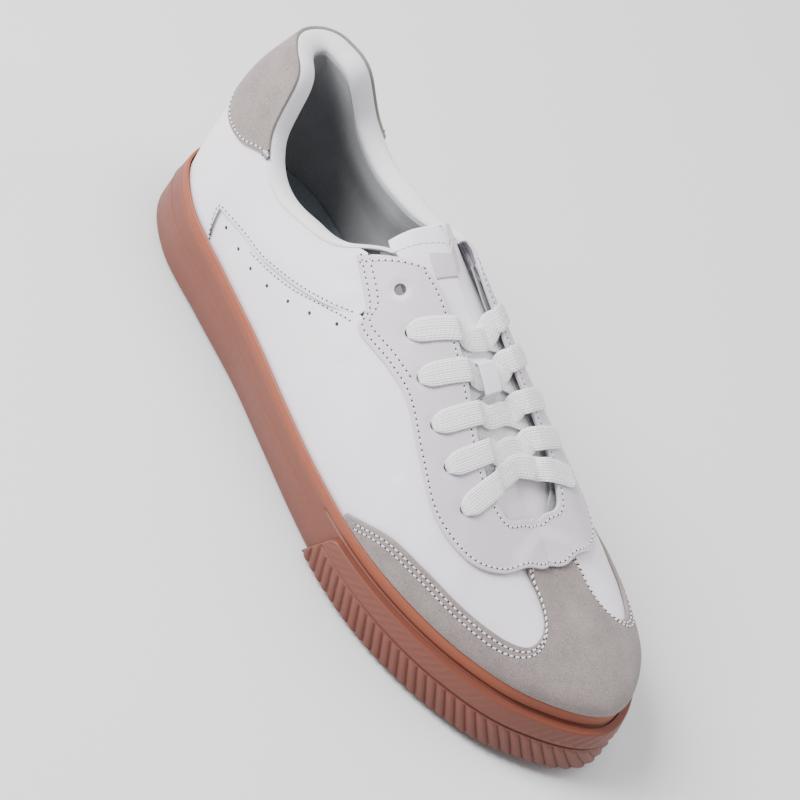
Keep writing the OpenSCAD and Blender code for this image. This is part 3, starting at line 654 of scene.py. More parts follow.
def pits(q, t, off, r, sides, proud, deep):
    """Short dark plugs of painted shade that stand for a hole at each point of the surface."""
    base = skin(q, t, off)
    up = unit(skin(q, t, off + 1) - base)
    side = unit(np.cross(up, PIT_AXIS))
    top = base[:, None] + r * across_turn(side, np.cross(up, side), sides) + proud * up[:, None]
    return np.stack([top - deep * up[:, None], top], 1)


def stitched(name, lines, body="shoe", thread=0.34, hole_r=0.4):
    """Rows of stitches along lines of (q, t, offset), each needle hole drawn as a dark plug of painted
    shade.
    """
    threads, hole_shades = [], []
    w = np.linspace(0, 1, STITCH_POINTS)
    for line in lines:
        q, t, off = np.broadcast_arrays(*line)
        run = run_along(skin(q, t, off))
        count = max(int(run[-1] / STITCH_PITCH), 1)
        step = run[-1] / count
        starts = (np.arange(count) + (1 - STITCH_SHARE) / 2) * step
        at = starts[:, None] + w * step * STITCH_SHARE
        pq, pt, po = (np.interp(at, run, x) for x in (q, t, off))
        centre = skin(pq, pt, po + thread * (1.15 * np.sin(np.pi * w) ** 0.55 - 0.75))
        normal = unit(skin(pq, pt, po + 1) - skin(pq, pt, po))
        wide = unit(np.cross(normal, unit(np.gradient(centre, axis=1))))
        spread = thread * (0.55 + 0.45 * np.sin(np.pi * w))[None, :, None, None]
        threads.append(centre[:, :, None] + across_turn(wide, 0.8 * normal, STITCH_SIDES) * spread)
        edge = np.arange(count + 1) * step
        hole_shades.append(pits(*(np.interp(edge, run, x) for x in (q, t, off)), hole_r, HOLE_SIDES, 0.035, 0.4))
    loops_piece(name, np.concatenate(threads), THREAD, body, "lace_weave")
    loops_piece(name + "_hole_shades", np.concatenate(hole_shades), HOLE_PAINTED_SHADE, body, "aglet_plastic")


def loops_piece(name, rings, paint, body, slot):
    """Many small closed tubes in one object: rings (m, n, k, 3)."""
    m, n, k = rings.shape[:3]
    one = tube(rings[0], np.zeros(k), np.zeros(n))[1]
    faces = [tuple(i * n * k + np.array(f)) for i in range(m) for f in one]
    return piece(name, rings.reshape(-1, 3), faces, [paint], body=body, slot=slot, sharp=70)


# ---- cuts of leather and cloth ----


def panel(q0, q1, low, high, lo, hi, **more):
    """Sheet from q0 to q1, between the shares low(q) and high(q) of the way up."""

    def place(u, v):
        q, v = np.broadcast_arrays(q0 + (q1 - q0) * np.asarray(u, float), v)
        a, b = low(q), high(q)
        return q, a + (b - a) * v

    return Sheet(place, lo, hi, **more)


def across_rails(edges):
    count = len(edges) - 1

    def place(u, v):
        u, v = np.broadcast_arrays(np.asarray(u, float), np.asarray(v, float))
        rails = np.stack([curve(e, u) for e in edges])
        s = np.clip(v, 0, 1) * count
        i = np.minimum(np.floor(s).astype(int), count - 1)
        pick = np.broadcast_to(i[None, ..., None], (1, *rails.shape[1:]))
        low = np.take_along_axis(rails, pick, 0)[0]
        high = np.take_along_axis(rails, pick + 1, 0)[0]
        c = low + (high - low) * (s - i)[..., None]
        return c[..., 0], c[..., 1]

    return place


def between(edges, lo, hi, **more):
    """Sheet between edge curves of (a, s) points across the shoe."""
    return Sheet(across_rails(edges), lo, hi, **more)


def halves(edges, lo, hi, **more):
    """The same for a lateral half that ends along the middle, and its mirror image."""
    half = across_rails(edges)

    def place(u, v):
        u, v = np.broadcast_arrays(np.asarray(u, float), np.asarray(v, float))
        q, t = half(1 - np.abs(2 * u - 1), v)
        return np.where(u <= 0.5, q, 2 - q), t

    return Sheet(place, lo, hi, **more)


def other_foot_side(sheet):
    """The medial twin of a lateral sheet."""

    def place(u, v):
        q, t = sheet.place(u, v)
        return 2 - q, t

    return Sheet(place, sheet.lo, sheet.hi, lift=sheet.lift, sink=sheet.sink)


def mirror(edge):
    return [(a, 2 - s) for a, s in reversed(edge)]


OVERLAY = (0.15, 1.45)
BASE = (-1.4, -0.1)
EYELETS = [0.428, 0.478, 0.53, 0.584, 0.633, 0.687]
EYELET_S = 0.58
EYELET_R = 2.3
PUNCH_DEPTH = 0.009
PRESSED_BY = 0.4
PRESSED_OVER = 1.3


def drill(obj):
    """Punches the eyelets of both sides through a piece."""
    made = []
    for a in EYELETS:
        for q in (a, 2 - a):
            n = outward(np.array(q), np.array(EYELET_S))
            p = placed(last(q, EYELET_S))
            bpy.ops.mesh.primitive_cylinder_add(vertices=40, radius=EYELET_R / 1000, depth=PUNCH_DEPTH)
            punch = bpy.context.object
            turn = Vector(n).to_track_quat("Z", "Y").to_matrix().to_4x4()
            punch.matrix_world = Matrix.Translation(p) @ turn
            made.append(punch)
    with bpy.context.temp_override(active_object=made[0], selected_editable_objects=made):
        bpy.ops.object.join()
    cut = obj.modifiers.new("eyelets", "BOOLEAN")
    cut.object = made[0]
    cut.solver = "EXACT"
    graph = bpy.context.evaluated_depsgraph_get()
    obj.data = bpy.data.meshes.new_from_object(obj.evaluated_get(graph))
    obj.modifiers.clear()
    bpy.data.objects.remove(made[0])
    obj.data.shade_smooth()
    obj.data.set_sharp_from_angle(angle=math.radians(38))


def pressed(q, t):
    """Leather drawn in round the punched eyelets."""
    here = last(q, t)
    total = np.zeros(np.shape(q))
    for a in EYELETS:
        for e in (a, 2 - a):
            far = np.linalg.norm(here - last(e, EYELET_S), axis=-1)
            total += PRESSED_BY * bell(np.maximum(far - EYELET_R, 0), PRESSED_OVER)
    return total


# vamp: a U from the heel quarters round the toe
EDGE_FROM = 0.2
VAMP_EDGE = [
    0.12, 0.125, 0.158, 0.2, 0.26, 0.345, 0.43, 0.465, 0.5, 0.51, 0.495, 0.475, 0.463, 0.485, 0.56,
    0.72, 0.93, 0.985, 0.985, 0.97, 0.93,
]


def vamp_top(q):
    return along(VAMP_EDGE, (lengthwise(q) - EDGE_FROM) / (1 - EDGE_FROM))


def creases(q, t):
    """Slack of the leather over the ball of the foot and along the quarter."""
    a = lengthwise(q)
    flex = bell(a - 0.72, 0.07) * np.sin(np.pi * np.clip(t / 0.6, 0, 1))
    long_wave = 0.22 * np.sin(31 * a + 2.2 * t) * np.sin(np.pi * np.clip(t / 0.5, 0, 1))
    return 0.16 * flex * np.sin(95 * a + 7 * t) + long_wave * (1 - 0.3 * bell(a - 0.5, 0.3))


def blank_plate(q, t):
    """Plain strip pressed into the outer side, along the edge of the lace stay."""
    middle = np.interp(q, (0.45, 0.5, 0.545, 0.61, 0.66), (0.32, 0.352, 0.38, 0.36, 0.34))
    ends = ease((q - 0.462) / 0.006) * ease((0.612 - q) / 0.006)
    return 0.3 * ends * ease((0.042 - np.abs(t - middle)) / 0.012)


def vamp_relief(q, t):
    return creases(q, t) + blank_plate(q, t)


vamp = panel(0.2, 1.8, lambda q: -0.09 + 0 * q, vamp_top, -1.4, -0.1, sink=vamp_relief)
vamp.make("vamp_skin", 460, 56, [LEATHER, CUT_EDGE], slot="smooth_leather", replaces=["vamp"])

# collar panels lap over the vamp and run down behind it to the sole
LAP = 1.4
PANEL_LOW = [
    (0.0015, -0.09), (0.06, -0.09), (0.12, -0.09), (0.17, -0.09), (0.208, -0.085), (0.229, -0.055),
    (0.2265, 0.01), (0.219, 0.05), (0.2155, 0.09), (0.232, 0.108), (0.27, 0.138), (0.3, 0.16),
    (0.33, 0.198), (0.365, 0.25), (0.4, 0.32), (0.432, 0.4),
]
PANEL_HIGH_Q = [
    0.0015, 0.05, 0.1, 0.14, 0.17, 0.185, 0.195, 0.205, 0.215, 0.235, 0.265, 0.298, 0.33, 0.362, 0.398,
    0.432,
]


def lap_lift(q, t):
    a = lengthwise(q)
    around = ease((a - 0.165) / 0.035) * (1 - ease((a - 0.395) / 0.03))
    near = 1 - ease((t - vamp_top(a)) / 0.1)
    return LAP * around * near * ease((t + 0.01) / 0.04)


def puff(q, t):
    """The padded collar swells the panel a little below its top edge."""
    a = lengthwise(q)
    share = np.clip(t / topline(q), 0, 1)
    swell = np.sin(np.pi * np.clip((share - 0.45) / 0.5, 0, 1)) ** 2
    return -0.9 * swell * (1 - ease((a - 0.33) / 0.07)) + creases(q, t) * 0.6


def collar_cut(side):
    tops = [(q, float(np.minimum(topline(q if side < 0 else 2 - q), 0.53))) for q in PANEL_HIGH_Q]
    cut = between([PANEL_LOW, tops], *BASE, lift=lap_lift, sink=puff)
    return cut if side < 0 else other_foot_side(cut)


collars = {}
for side, label in ((-1, "lateral"), (1, "medial")):
    collars[label] = collar_cut(side)
    collars[label].make(
        f"collar_panel_{label}_skin", 300, 50, [LEATHER, RAW_EDGE], slot="smooth_leather",
        replaces=[f"collar_panel_{label}"], r=0.4,
    )

# lace stay
STAY_OUTER = [
    (0.372, 0.455), (0.43, 0.445), (0.448, 0.402), (0.5, 0.46), (0.545, 0.493), (0.61, 0.465),
    (0.675, 0.433), (0.74, 0.48), (0.785, 0.61), (0.812, 0.78), (0.842, 0.9),
]
STAY_NOSE = (0.853, 1.0)
STAY_THROAT = (0.77, 1.0)
STAY_INNER = [
    (0.408, 0.713), (0.432, 0.765), (0.46, 0.785), (0.5, 0.792), (0.545, 0.793), (0.61, 0.765),
    (0.66, 0.745), (0.715, 0.765), (0.742, 0.81), (0.757, 0.91), (0.767, 0.955),
]


def nose_lift(q, t):
    """The front of the stay lies on the tongue of the toe cap."""
    return 1.35 * ease((lengthwise(q) - 0.775) / 0.03) * ease((t - 0.68) / 0.08)


stay = between(
    [STAY_OUTER + [STAY_NOSE] + mirror(STAY_OUTER), STAY_INNER + [STAY_THROAT] + mirror(STAY_INNER)],
    *OVERLAY, lift=nose_lift, sink=pressed,
)
# The lace stay wears the darker copy of the white leather: painted shade.
drill(stay.make(
    "lace_stay_skin", 420, 44, [LEATHER_PAINTED_SHADE, CUT_EDGE], slot="smooth_leather", replaces=["lace_stay"],
))

# toe cap
CAP_LOW = [(q, 0.004) for q in (0.6, 0.66, 0.72, 0.78, 0.84, 0.875, 0.9, 0.925, 0.95, 0.97, 0.985, 1)]
CAP_MIDDLE = [
    (0.6, 0.012), (0.657, 0.1), (0.717, 0.15), (0.78, 0.18), (0.84, 0.21), (0.876, 0.3), (0.9, 0.4),
    (0.91, 0.56), (0.915, 0.72), (0.92, 0.84), (0.945, 0.93), (0.96, 1),
]
CAP_HIGH = [
    (0.6, 0.03), (0.655, 0.19), (0.715, 0.262), (0.78, 0.308), (0.84, 0.365), (0.874, 0.45),
    (0.888, 0.6), (0.878, 0.712), (0.852, 0.765), (0.815, 0.79), (0.8, 0.89), (0.8, 1),
]
cap = halves([CAP_LOW, CAP_MIDDLE, CAP_HIGH], *OVERLAY, sink=lambda q, t: 0.5 * creases(q, t))
cap.make("toe_cap_skin", 420, 64, [SUEDE, SUEDE_EDGE], slot="suede", replaces=["toe_cap"], r=0.5)

# heel tab
TAB_END = 0.218
TAB_LOW = [0.235, 0.228, 0.212, 0.204, 0.232, 0.284]
tab = panel(
    -TAB_END, TAB_END, lambda q: along(TAB_LOW, lengthwise(q) / TAB_END), lambda q: topline(q) + 0.004,
    *OVERLAY, sink=puff,
)
tab.make("heel_tab_skin", 260, 60, [SUEDE, SUEDE_EDGE], slot="suede", replaces=["heel_tab"])

# collar padding with its lining, and the textile roll along the topline
COLLAR_END = 0.412


def soft_wrinkles(q, t):
    a = lengthwise(q)
    fade = np.sin(np.pi * np.clip(t / topline(q), 0, 1))
    return 0.35 * np.sin(46 * a + 9 * t) * np.sin(23 * a - 6 * t) * fade


def closed_sheet(name, place, inner, outer, nu, nv, paints, r, **options):
    """Sheet rounded on both faces, between the offsets inner and outer, functions of (q, t)."""
    q, t, reach = Sheet(place, 0, 0).grid(nu, nv, r)
    lo, hi = inner(q, t), outer(q, t)
    drop = np.minimum(r, (hi - lo) * 0.5) * (1 - round_over(reach / r))
    points, faces, _ = slab(skin(q, t, hi - drop), skin(q, t, lo + drop))
    return piece(name, points, faces, paints, **options)


collar_place = panel(
    -COLLAR_END, COLLAR_END, lambda q: -0.08 + 0 * q, lambda q: np.minimum(topline(q) - 0.004, 0.52), 0, 0
).place
collar_pad = closed_sheet(
    "collar_padding", collar_place,
    lambda q, t: -4.5 - padding(q, t) - soft_wrinkles(q, t) * ease(padding(q, t) / 3),
    lambda q, t: -3.8 + 0.4 * ease(padding(q, t) / 2),
    260, 60, [LINING], 1.0, slot="lining_textile", replaces=["collar_lining", "collar_foam"], sharp=60,
)

ROLL_END = 0.385
ROLL_FADE = 0.03
ROLL_OUT = 0.3
ROLL_SIDES = 22


def collar_roll():
    """Soft rolled binding along the topline."""
    q = np.linspace(-ROLL_END, ROLL_END, 440)
    t = topline(q) - 0.009
    rise = unit(last(q, t + STEP_T) - last(q, t))
    width = 3.8 + padding(q, t) + ROLL_OUT
    turn = np.linspace(0, np.pi, ROLL_SIDES)
    end = round_over((ROLL_END - np.abs(q)) / ROLL_FADE)[:, None]
    tall = 0.2 + (np.sin(turn[::-1]) ** 0.62)[None] * (1.2 + 2.3 * end)
    off = ROLL_OUT - width[:, None] * (0.5 - 0.5 * np.cos(turn))[None]
    tops = skin(q[:, None], t[:, None], off) + rise[:, None] * tall[..., None]
    low = [skin(q, t, ROLL_OUT - width * share) + 0.1 * rise for share in (0.98, 0.66, 0.33, 0.02)]
    rings = np.concatenate([tops, np.stack(low, 1)], 1)
    points, faces, _ = tube(rings, np.zeros(rings.shape[1]), np.zeros(len(q)))
    roll = piece(
        "collar_roll", points, faces, [EDGE_KNIT], slot="edge_textile", replaces=["collar_edge"], sharp=70
    )


collar_roll()

# tongue
TONGUE_AT = -4.1
TONGUE_SIDE = [(0.366, 0.56), (0.42, 0.58), (0.5, 0.645), (0.6, 0.66), (0.7, 0.69), (0.782, 0.74)]
TONGUE_MID = [(0.334, 1), (0.42, 1), (0.5, 1), (0.6, 1), (0.7, 1), (0.782, 1)]
TONGUE_RAILS = [TONGUE_SIDE, [(a, 0.78) for a in (0.352, 0.42, 0.5, 0.6, 0.7, 0.782)], TONGUE_MID]
TONGUE_RAILS += [[(a, 2 - s) for a, s in edge] for edge in (TONGUE_RAILS[1], TONGUE_RAILS[0])]


def tongue_waves(q, t):
    return 0.25 * np.sin(40 * lengthwise(q) + 3 * t)


tongue = between(TONGUE_RAILS, TONGUE_AT - 1.3, TONGUE_AT, sink=tongue_waves)
tongue.make(
    "tongue_skin", 170, 90, [LEATHER, CUT_EDGE], body="tongue", slot="smooth_leather",
    replaces=["tongue_outer"],
)
tongue_pad = closed_sheet(
    "tongue_padding", across_rails(TONGUE_RAILS),
    lambda q, t: -10.7 - tongue_waves(q, t), lambda q, t: -5.5 - tongue_waves(q, t),
    120, 60, [LINING], 2.4, body="tongue", slot="lining_textile", replaces=["tongue_foam", "tongue_lining"],
    sharp=60,
)
PATCH_EDGES = [[(0.385, 0.78), (0.42, 0.8)], [(0.37, 1.14), (0.404, 1.12)]]
# The tongue label wears the darker copy of the white leather: painted shade.
between(PATCH_EDGES, TONGUE_AT + 0.05, TONGUE_AT + 0.6, sink=tongue_waves).make(
    "tongue_label", 40, 40, [LEATHER_PAINTED_SHADE], body="tongue", slot="smooth_leather",
    replaces=["tongue_patch"], r=0.45,
)

KEEPER_A = (0.528, 0.586)
KEEPER_S = (0.89, 1.02)


def keeper_lift(q, t):
    u = (lengthwise(q) - KEEPER_A[0]) / (KEEPER_A[1] - KEEPER_A[0])
    u = np.minimum(u, 1 - u)
    return 0.06 + 3.85 * ease((u - 0.04) / 0.12) + 0.2 * ease((u - 0.16) / 0.3)


KEEPER_EDGES = [[(a, s) for a in np.linspace(*KEEPER_A, 4)] for s in KEEPER_S]
keeper = between(KEEPER_EDGES, TONGUE_AT, TONGUE_AT + 0.9, lift=keeper_lift)
keeper.make("keeper_loop", 60, 22, [LEATHER, CUT_EDGE], body="tongue", slot="smooth_leather",
            replaces=["lace_keeper"], r=0.35)

# linings of the quarters, seen down the throat
QUARTER_ENDS = (0.416, 0.75)
THROAT_EDGE = [0.72, 0.775, 0.787, 0.788, 0.78, 0.752, 0.74, 0.76, 0.845]


def throat(q):
    return along(THROAT_EDGE, (lengthwise(q) - QUARTER_ENDS[0]) / (QUARTER_ENDS[1] - QUARTER_ENDS[0]))


for side, label in ((-1, "lateral"), (1, "medial")):
    ends = QUARTER_ENDS if side < 0 else tuple(2 - a for a in QUARTER_ENDS)
    lining = panel(*ends, lambda q: -0.08 + 0 * q, throat, -2.4, -1.75)
    drill(lining.make(f"quarter_lining_{label}_skin", 90, 60, [LINING], slot="lining_textile",
                      replaces=[f"quarter_lining_{label}"], r=0.25))

# ---- stitches ----


def seam_rows():
    """The rows of stitching on the upper."""
    rows = []
    for label, cut in collars.items():
        rows.append(cut.inset(1.6, lo=0.27, hi=0.985))
        q = np.linspace(0.285, 0.432, 300)
        t = vamp_top(q) - 0.036
        q = q if label == "lateral" else 2 - q
        rows.append((q, t, -0.1 - creases(q, t)))
    rows += [stay.inset(1.8), stay.inset(2.6, side="high", lo=0.02, hi=0.98)]
    for end in ("start", "end"):
        rows.append(stay.across(1.8, side=end, lo=0.04, hi=0.96))
    rows += [stay.inset(4.3, lo=0.0, hi=0.16), stay.inset(4.3, lo=0.84, hi=1.0)]
    return rows


stitched("upper_stitches", seam_rows())
CAP_SIDES = ((0.015, 0.455), (0.545, 0.985))
stitched("suede_stitches", [
    *(cap.inset(distance, side="high", lo=a, hi=b) for distance in (2.0, 4.3) for a, b in CAP_SIDES),
    tab.inset(1.8),
    tab.across(1.8, lo=0.05, hi=0.97), tab.across(1.8, side="end", lo=0.05, hi=0.97),
])
stitched("tongue_stitches", [
    tongue.across(7.5, lo=0.03, hi=0.97),
], body="tongue", thread=0.22, hole_r=0.25)

PERFORATIONS = [
    (0.238, 0.08), (0.268, 0.087), (0.298, 0.1), (0.33, 0.133), (0.364, 0.187), (0.394, 0.25),
    (0.426, 0.333),
]
PERFORATION_R = 0.75


def perforation_shades():
    """The short row of air hole plugs below each collar panel, dark with painted shade."""
    a, t = np.array(PERFORATIONS).T
    q, t = np.concatenate([a, 2 - a]), np.concatenate([t, t])
    rings = pits(q, t, -0.1 - creases(q, t), PERFORATION_R, 20, 0.05, 0.5)
    loops_piece("perforation_shades", rings, HOLE_PAINTED_SHADE, "shoe", "smooth_leather")


perforation_shades()

# ---- lace ----

LACE_W, LACE_T = 9.3, 1.25
HOLE_W, HOLE_T = 3.6, 2.2
UNDER_AT, OVER_AT = -3.15, 2.1
LOW_CROSS, HIGH_CROSS = -3.15, -1.75
DIVE = [
    (0.265, -0.9, LACE_W, LACE_T), (0.225, 1.8, LACE_W, LACE_T), (0.15, OVER_AT, LACE_W, LACE_T),
    (0.09, OVER_AT, LACE_W, LACE_T), (0.052, OVER_AT + 0.15, 0.98 * LACE_W, 1.15 * LACE_T),
    (0.022, OVER_AT + 0.25, 0.88 * LACE_W, 1.5 * LACE_T), (-0.002, OVER_AT - 0.3, 0.62 * LACE_W, 2),
    (-0.006, 0.6, 4.4, 2.4), (0, -0.9, HOLE_W, HOLE_T), (0, -2.3, HOLE_W, HOLE_T),
]
EMERGE = [
    (0, 0.022, UNDER_AT + 0.1, 5, 1.5), (-0.004, 0.06, UNDER_AT, 0.8 * LACE_W, LACE_T),
    (-0.011, 0.13, UNDER_AT, LACE_W, LACE_T), (-0.018, 0.22, UNDER_AT + 0.15, LACE_W, LACE_T),
]
LOWEST = len(EYELETS) - 1


def to_side(side, s):
    return s if side < 0 else 2 - s


def diving(side, level, drift):
    slope = drift / DIVE[0][0]
    return [(EYELETS[level] + slope * s, to_side(side, EYELET_S + s), off, w, h) for s, off, w, h in DIVE]


def crossing(side, level):
    """From inside one eyelet over the tongue into the next eyelet of the other side."""
    a = (EYELETS[level] + EYELETS[level - 1]) / 2
    at = HIGH_CROSS if side > 0 else LOW_CROSS
    start = [(EYELETS[level] + b, to_side(side, EYELET_S + s), off, w, h) for b, s, off, w, h in EMERGE]
    middle = [
        (a + 0.001, to_side(side, 0.92), at - (0.9 if side > 0 else 0), LACE_W, LACE_T),
        (a, 1, at, LACE_W, LACE_T),
        (a - 0.002, to_side(-side, 0.9), at + (0 if side > 0 else 0.5), LACE_W, LACE_T),
    ]
    return start + middle + diving(-side, level - 1, 0.012)


def strand(side, level):
    return [] if level == 1 else crossing(side, level) + strand(-side, level - 1)


LACE_ROUTE = (
    strand(-1, LOWEST)[::-1] + diving(-1, LOWEST, 0)[::-1]
    + [(EYELETS[LOWEST], 0.92, -0.6, LACE_W, LACE_T), (EYELETS[LOWEST], 1.08, -0.6, LACE_W, LACE_T)]
    + diving(1, LOWEST, 0) + strand(1, LOWEST)
)
LACE_FINE = 7
LACE_RIBS = 8
HALF_X = 0.5 * np.sin(np.linspace(0.5 * np.pi, -0.5 * np.pi, 49))
HALF_Y = 0.5 * np.sqrt(1 - np.abs(2 * HALF_X) ** 3.2) * (0.9 + 0.1 * np.cos(2 * np.pi * LACE_RIBS * HALF_X))
LACE_X = np.concatenate([HALF_X, -HALF_X[1:-1]])
LACE_Y = np.concatenate([HALF_Y, -HALF_Y[1:-1]])


def ribbon(centre, wide, forward, widths, heights, name, **options):
    """Flat lace along a line of centres."""
    wide = unit(wide - (wide * forward).sum(-1, keepdims=True) * forward)
    thick = np.cross(wide, forward)
    rings = (
        centre[:, None] + wide[:, None] * (LACE_X[:, None] * widths[:, None, None])
        + thick[:, None] * (LACE_Y[:, None] * heights[:, None, None])
    )
    run = run_along(centre) / 1000
    points, faces, uv = tube(rings, LACE_X + 0.5, run)
    return piece(name, points, faces, [LACE_WEAVE], slot="lace_weave", uv=uv, sharp=80, **options)


def lace_centre(u):
    c = curve(LACE_ROUTE, u)
    return skin(c[:, 0], c[:, 1], c[:, 2]), c


def lace_piece(name, first, last_point, **options):
    """The stretch of the lace between two points of its route."""
    total = len(LACE_ROUTE) - 1
    u = np.linspace(first, last_point, int(round((last_point - first) * LACE_FINE)) + 1) / total
    centre, c = lace_centre(u)
    ahead, behind = (lace_centre(np.clip(u + d, 0, 1))[0] for d in (0.15 / total, -0.15 / total))
    lengthways = skin(c[:, 0] + STEP_Q, c[:, 1], c[:, 2]) - skin(c[:, 0] - STEP_Q, c[:, 1], c[:, 2])
    return ribbon(centre, unit(lengthways), unit(ahead - behind), c[:, 3], c[:, 4], name, **options)


def route_point(index):
    return placed(lace_centre(np.array([index / (len(LACE_ROUTE) - 1)]))[0][0])


lace_piece("lace_upper_a", 0, 24, replaces=["lace"])
lace_piece("lace_lower", 33, 124)
lace_piece("lace_upper_b", 133, 157)
for name, first, last_point, start, end in (
    ("lace_keeper_a_over", 24, 28, 25.2, 27), ("lace_keeper_a_under", 28, 33, 30, 29),
    ("lace_keeper_b_under", 124, 129, 127, 128), ("lace_keeper_b_over", 129, 133, 131.8, 130),
):
    part = lace_piece(name, first, last_point, body=None)
    route_point(start)
    route_point(end)
    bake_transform(part)

TAIL_HEIGHT = [83, 79, 70, 63, 57, 49, 42, 36, 31, 27, 24, 23, 23, 23, 23, 23, 23]
TAIL_LATERAL = [
    (-9, -26), (-9, -25), (-8, -24), (-7, -24), (-6, -23), (-5, -22), (-3, -22), (-1, -22), (3, -22),
    (8, -22), (15, -22), (23, -21), (31, -20), (40, -18), (49, -16), (66, -12), (82, -10),
]
TAIL_MEDIAL = [
    (-8, 15), (-8, 14), (-7, 15), (-7, 15), (-6, 16), (-5, 16), (-3, 16), (-1, 16), (3, 17), (8, 17),
    (15, 18), (23, 19), (31, 20), (40, 21), (49, 21), (65, 19), (81, 15),
]
TAIL_ACROSS = [
    (1, 0, -0.3), (1, 0, -0.2), (1, 0.2, 0), (0.9, 0.5, 0), (0.8, 0.8, 0), (0.5, 0.9, 0), (0.2, 1, 0),
    (0.1, 1, 0), (0, 1, 0), (0, 1, 0), (0, 1, 0), (0, 1, 0),
]
ACROSS_END_LATERAL = [0.1, 0.2, 0.2, 0.1, 0]
ACROSS_END_MEDIAL = [0, 0, 0, 0.2, 0.2]
TAIL_FINE = 8
TAIL_NARROWS = (0.93, 0.57)


def tail(label, side, route, across_end):
    """A free end of the lace, down inside the shoe and along the footbed."""
    route = [(*place, height) for place, height in zip(route, TAIL_HEIGHT)]
    across = np.array(TAIL_ACROSS + [(x, 1, 0) for x in across_end]) * (1, -side, 1)
    u = np.linspace(0, 1, (len(route) - 1) * TAIL_FINE + 1)
    centre = curve(route, u)
    forward = unit(curve(route, np.minimum(u + 0.01, 1)) - curve(route, np.maximum(u - 0.01, 0)))
    begin, taken = TAIL_NARROWS
    narrow = 1 - taken * np.clip((u - begin) / 0.07, 0, 1)
    obj = ribbon(
        centre + ORIGIN, curve(across, u), forward, LACE_W * narrow, LACE_T * (2 - narrow),
        f"lace_tail_{label}_weave", body=None, replaces=[f"lace_tail_{label}"],
    )
    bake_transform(obj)


tail("lateral", -1, TAIL_LATERAL, ACROSS_END_LATERAL)
tail("medial", 1, TAIL_MEDIAL, ACROSS_END_MEDIAL)

# ---- sole ----

CUP_GAP = 0.6
FLOOR = 6.0


def tuck(q):
    return np.maximum(1.9 - flare(q), 0)


def wall_middle(q):
    return np.maximum(0.5 * (flare(q) + 2) + 0.4, 1.8)


def cup_floor(x):
    return FLOOR + spring(x)


def profile(q, controls, count):
    """Smooth loops through control loops, each an offset outside the rim and a height."""
    return curve([beside(q, off + 0 * q, z) for off, z in controls], np.linspace(0, 1, count))


def stack(name, loops, paints, **options):
    """Closed solid of loops round the shoe, capped by strips across."""
    k, n = loops.shape[:2]
    i, j = np.meshgrid(np.arange(k - 1), np.arange(n), indexing="ij")
    jn = (j + 1) % n
    wall = np.stack([i * n + j, (i + 1) * n + j, (i + 1) * n + jn, i * n + jn], -1).reshape(-1, 4)
    faces = [tuple(f) for f in wall]
    half = n // 2
    for first, flip in ((0, False), ((k - 1) * n, True)):
        for j in range(half):
            a, b, c, d = j, j + 1, (n - j - 1) % n, (n - j) % n
            face = (a, b, c) if j == 0 else (a, b, d) if j == half - 1 else (a, b, c, d)
            face = tuple(first + f for f in face)
            faces.append(face[::-1] if flip else face)
    height = loops[..., 2] / rim_z(np.linspace(0, 2, n, endpoint=False))[None]
    uv = np.stack([np.tile(np.linspace(0, 1, n), k), height.ravel()], -1)
    return piece(name, loops.reshape(-1, 3), faces, paints, uv=uv, **options)


WALL_FOOT = 2.5
CROWN = 2.2


def cup_loops():
    q = np.linspace(0, 2, 760, endpoint=False)
    x = rim(q)[:, 0]
    wide, base, top, tucked = flare(q), underside(x), rim_z(q), tuck(q)
    foot = profile(q, [(wide - 3, base), (wide - 0.7, base + 0.5), (wide, base + WALL_FOOT)], 9)
    wall = [(wide, base + WALL_FOOT), (wall_middle(q), 0.5 * (base + top)), (2, top - CROWN)]
    wall = profile(q, wall, 96)[1:]
    tall = top - base
    share = (wall[..., 2] - base) / tall
    a = lengthwise(q)[None]
    rear = 1 - ease((a - 0.56) / 0.015)
    away = beside(q, 1 + 0 * q, 0) - beside(q, 0 * q, 0)
    ridge = 0.34 * bell((share - 0.56) * tall, 0.33) * rear
    groove = 0.8 * bell((share - 0.8) * tall, 0.6) * ease((a - 0.575) / 0.008)
    lip = 0.3 * bell((share - 0.86) * tall, 0.35) * rear
    wall = wall + away[None] * (ridge - groove - lip)[..., None]
    crown = profile(q, [(2, top - CROWN), (1.6, top - 0.5), (0.9, top), (CUP_GAP, top - 0.5)], 15)[1:]
    board, floor = board_top(x), cup_floor(x)
    inside = [
        (CUP_GAP + 0 * q, board + 0.15), (CUP_GAP - 0.4 * tucked, board - 0.05),
        (CUP_GAP - tucked, floor + 1), (CUP_GAP - 1 - tucked, floor),
    ]
    return np.concatenate([foot, wall, crown, np.stack([beside(q, off, z) for off, z in inside])])


stack("outsole_cup_skin", cup_loops(), [GUM], slot="gum_rubber", replaces=["outsole_cup"])

BUMPER_FROM = 0.594
BUMPER_SLANT = 0.026
BUMPER_T = 3
BUMPER_FOOT = -0.03
BUMPER_TOP = 0.78
BUMPER_CORNER = 3.2
BUMPER_ROWS = 74
CLOSING_ROWS = 7
WALL_TALL = 24
RIB = 4.4
RIBS_TO = 0.437


def wall_out(q, k):
    middle = wall_middle(q)
    low = flare(q) + (middle - flare(q)) * k / 0.5
    return np.where(k < 0.5, low, middle + (2 - middle) * (k - 0.5) / 0.43)


def wall_point(q, k, out):
    e = beside(q, wall_out(q, k) + out, 0)
    base = underside(e[..., 0]) + 1
    e[..., 2] = base + (rim_z(q) - base) * k
    return e


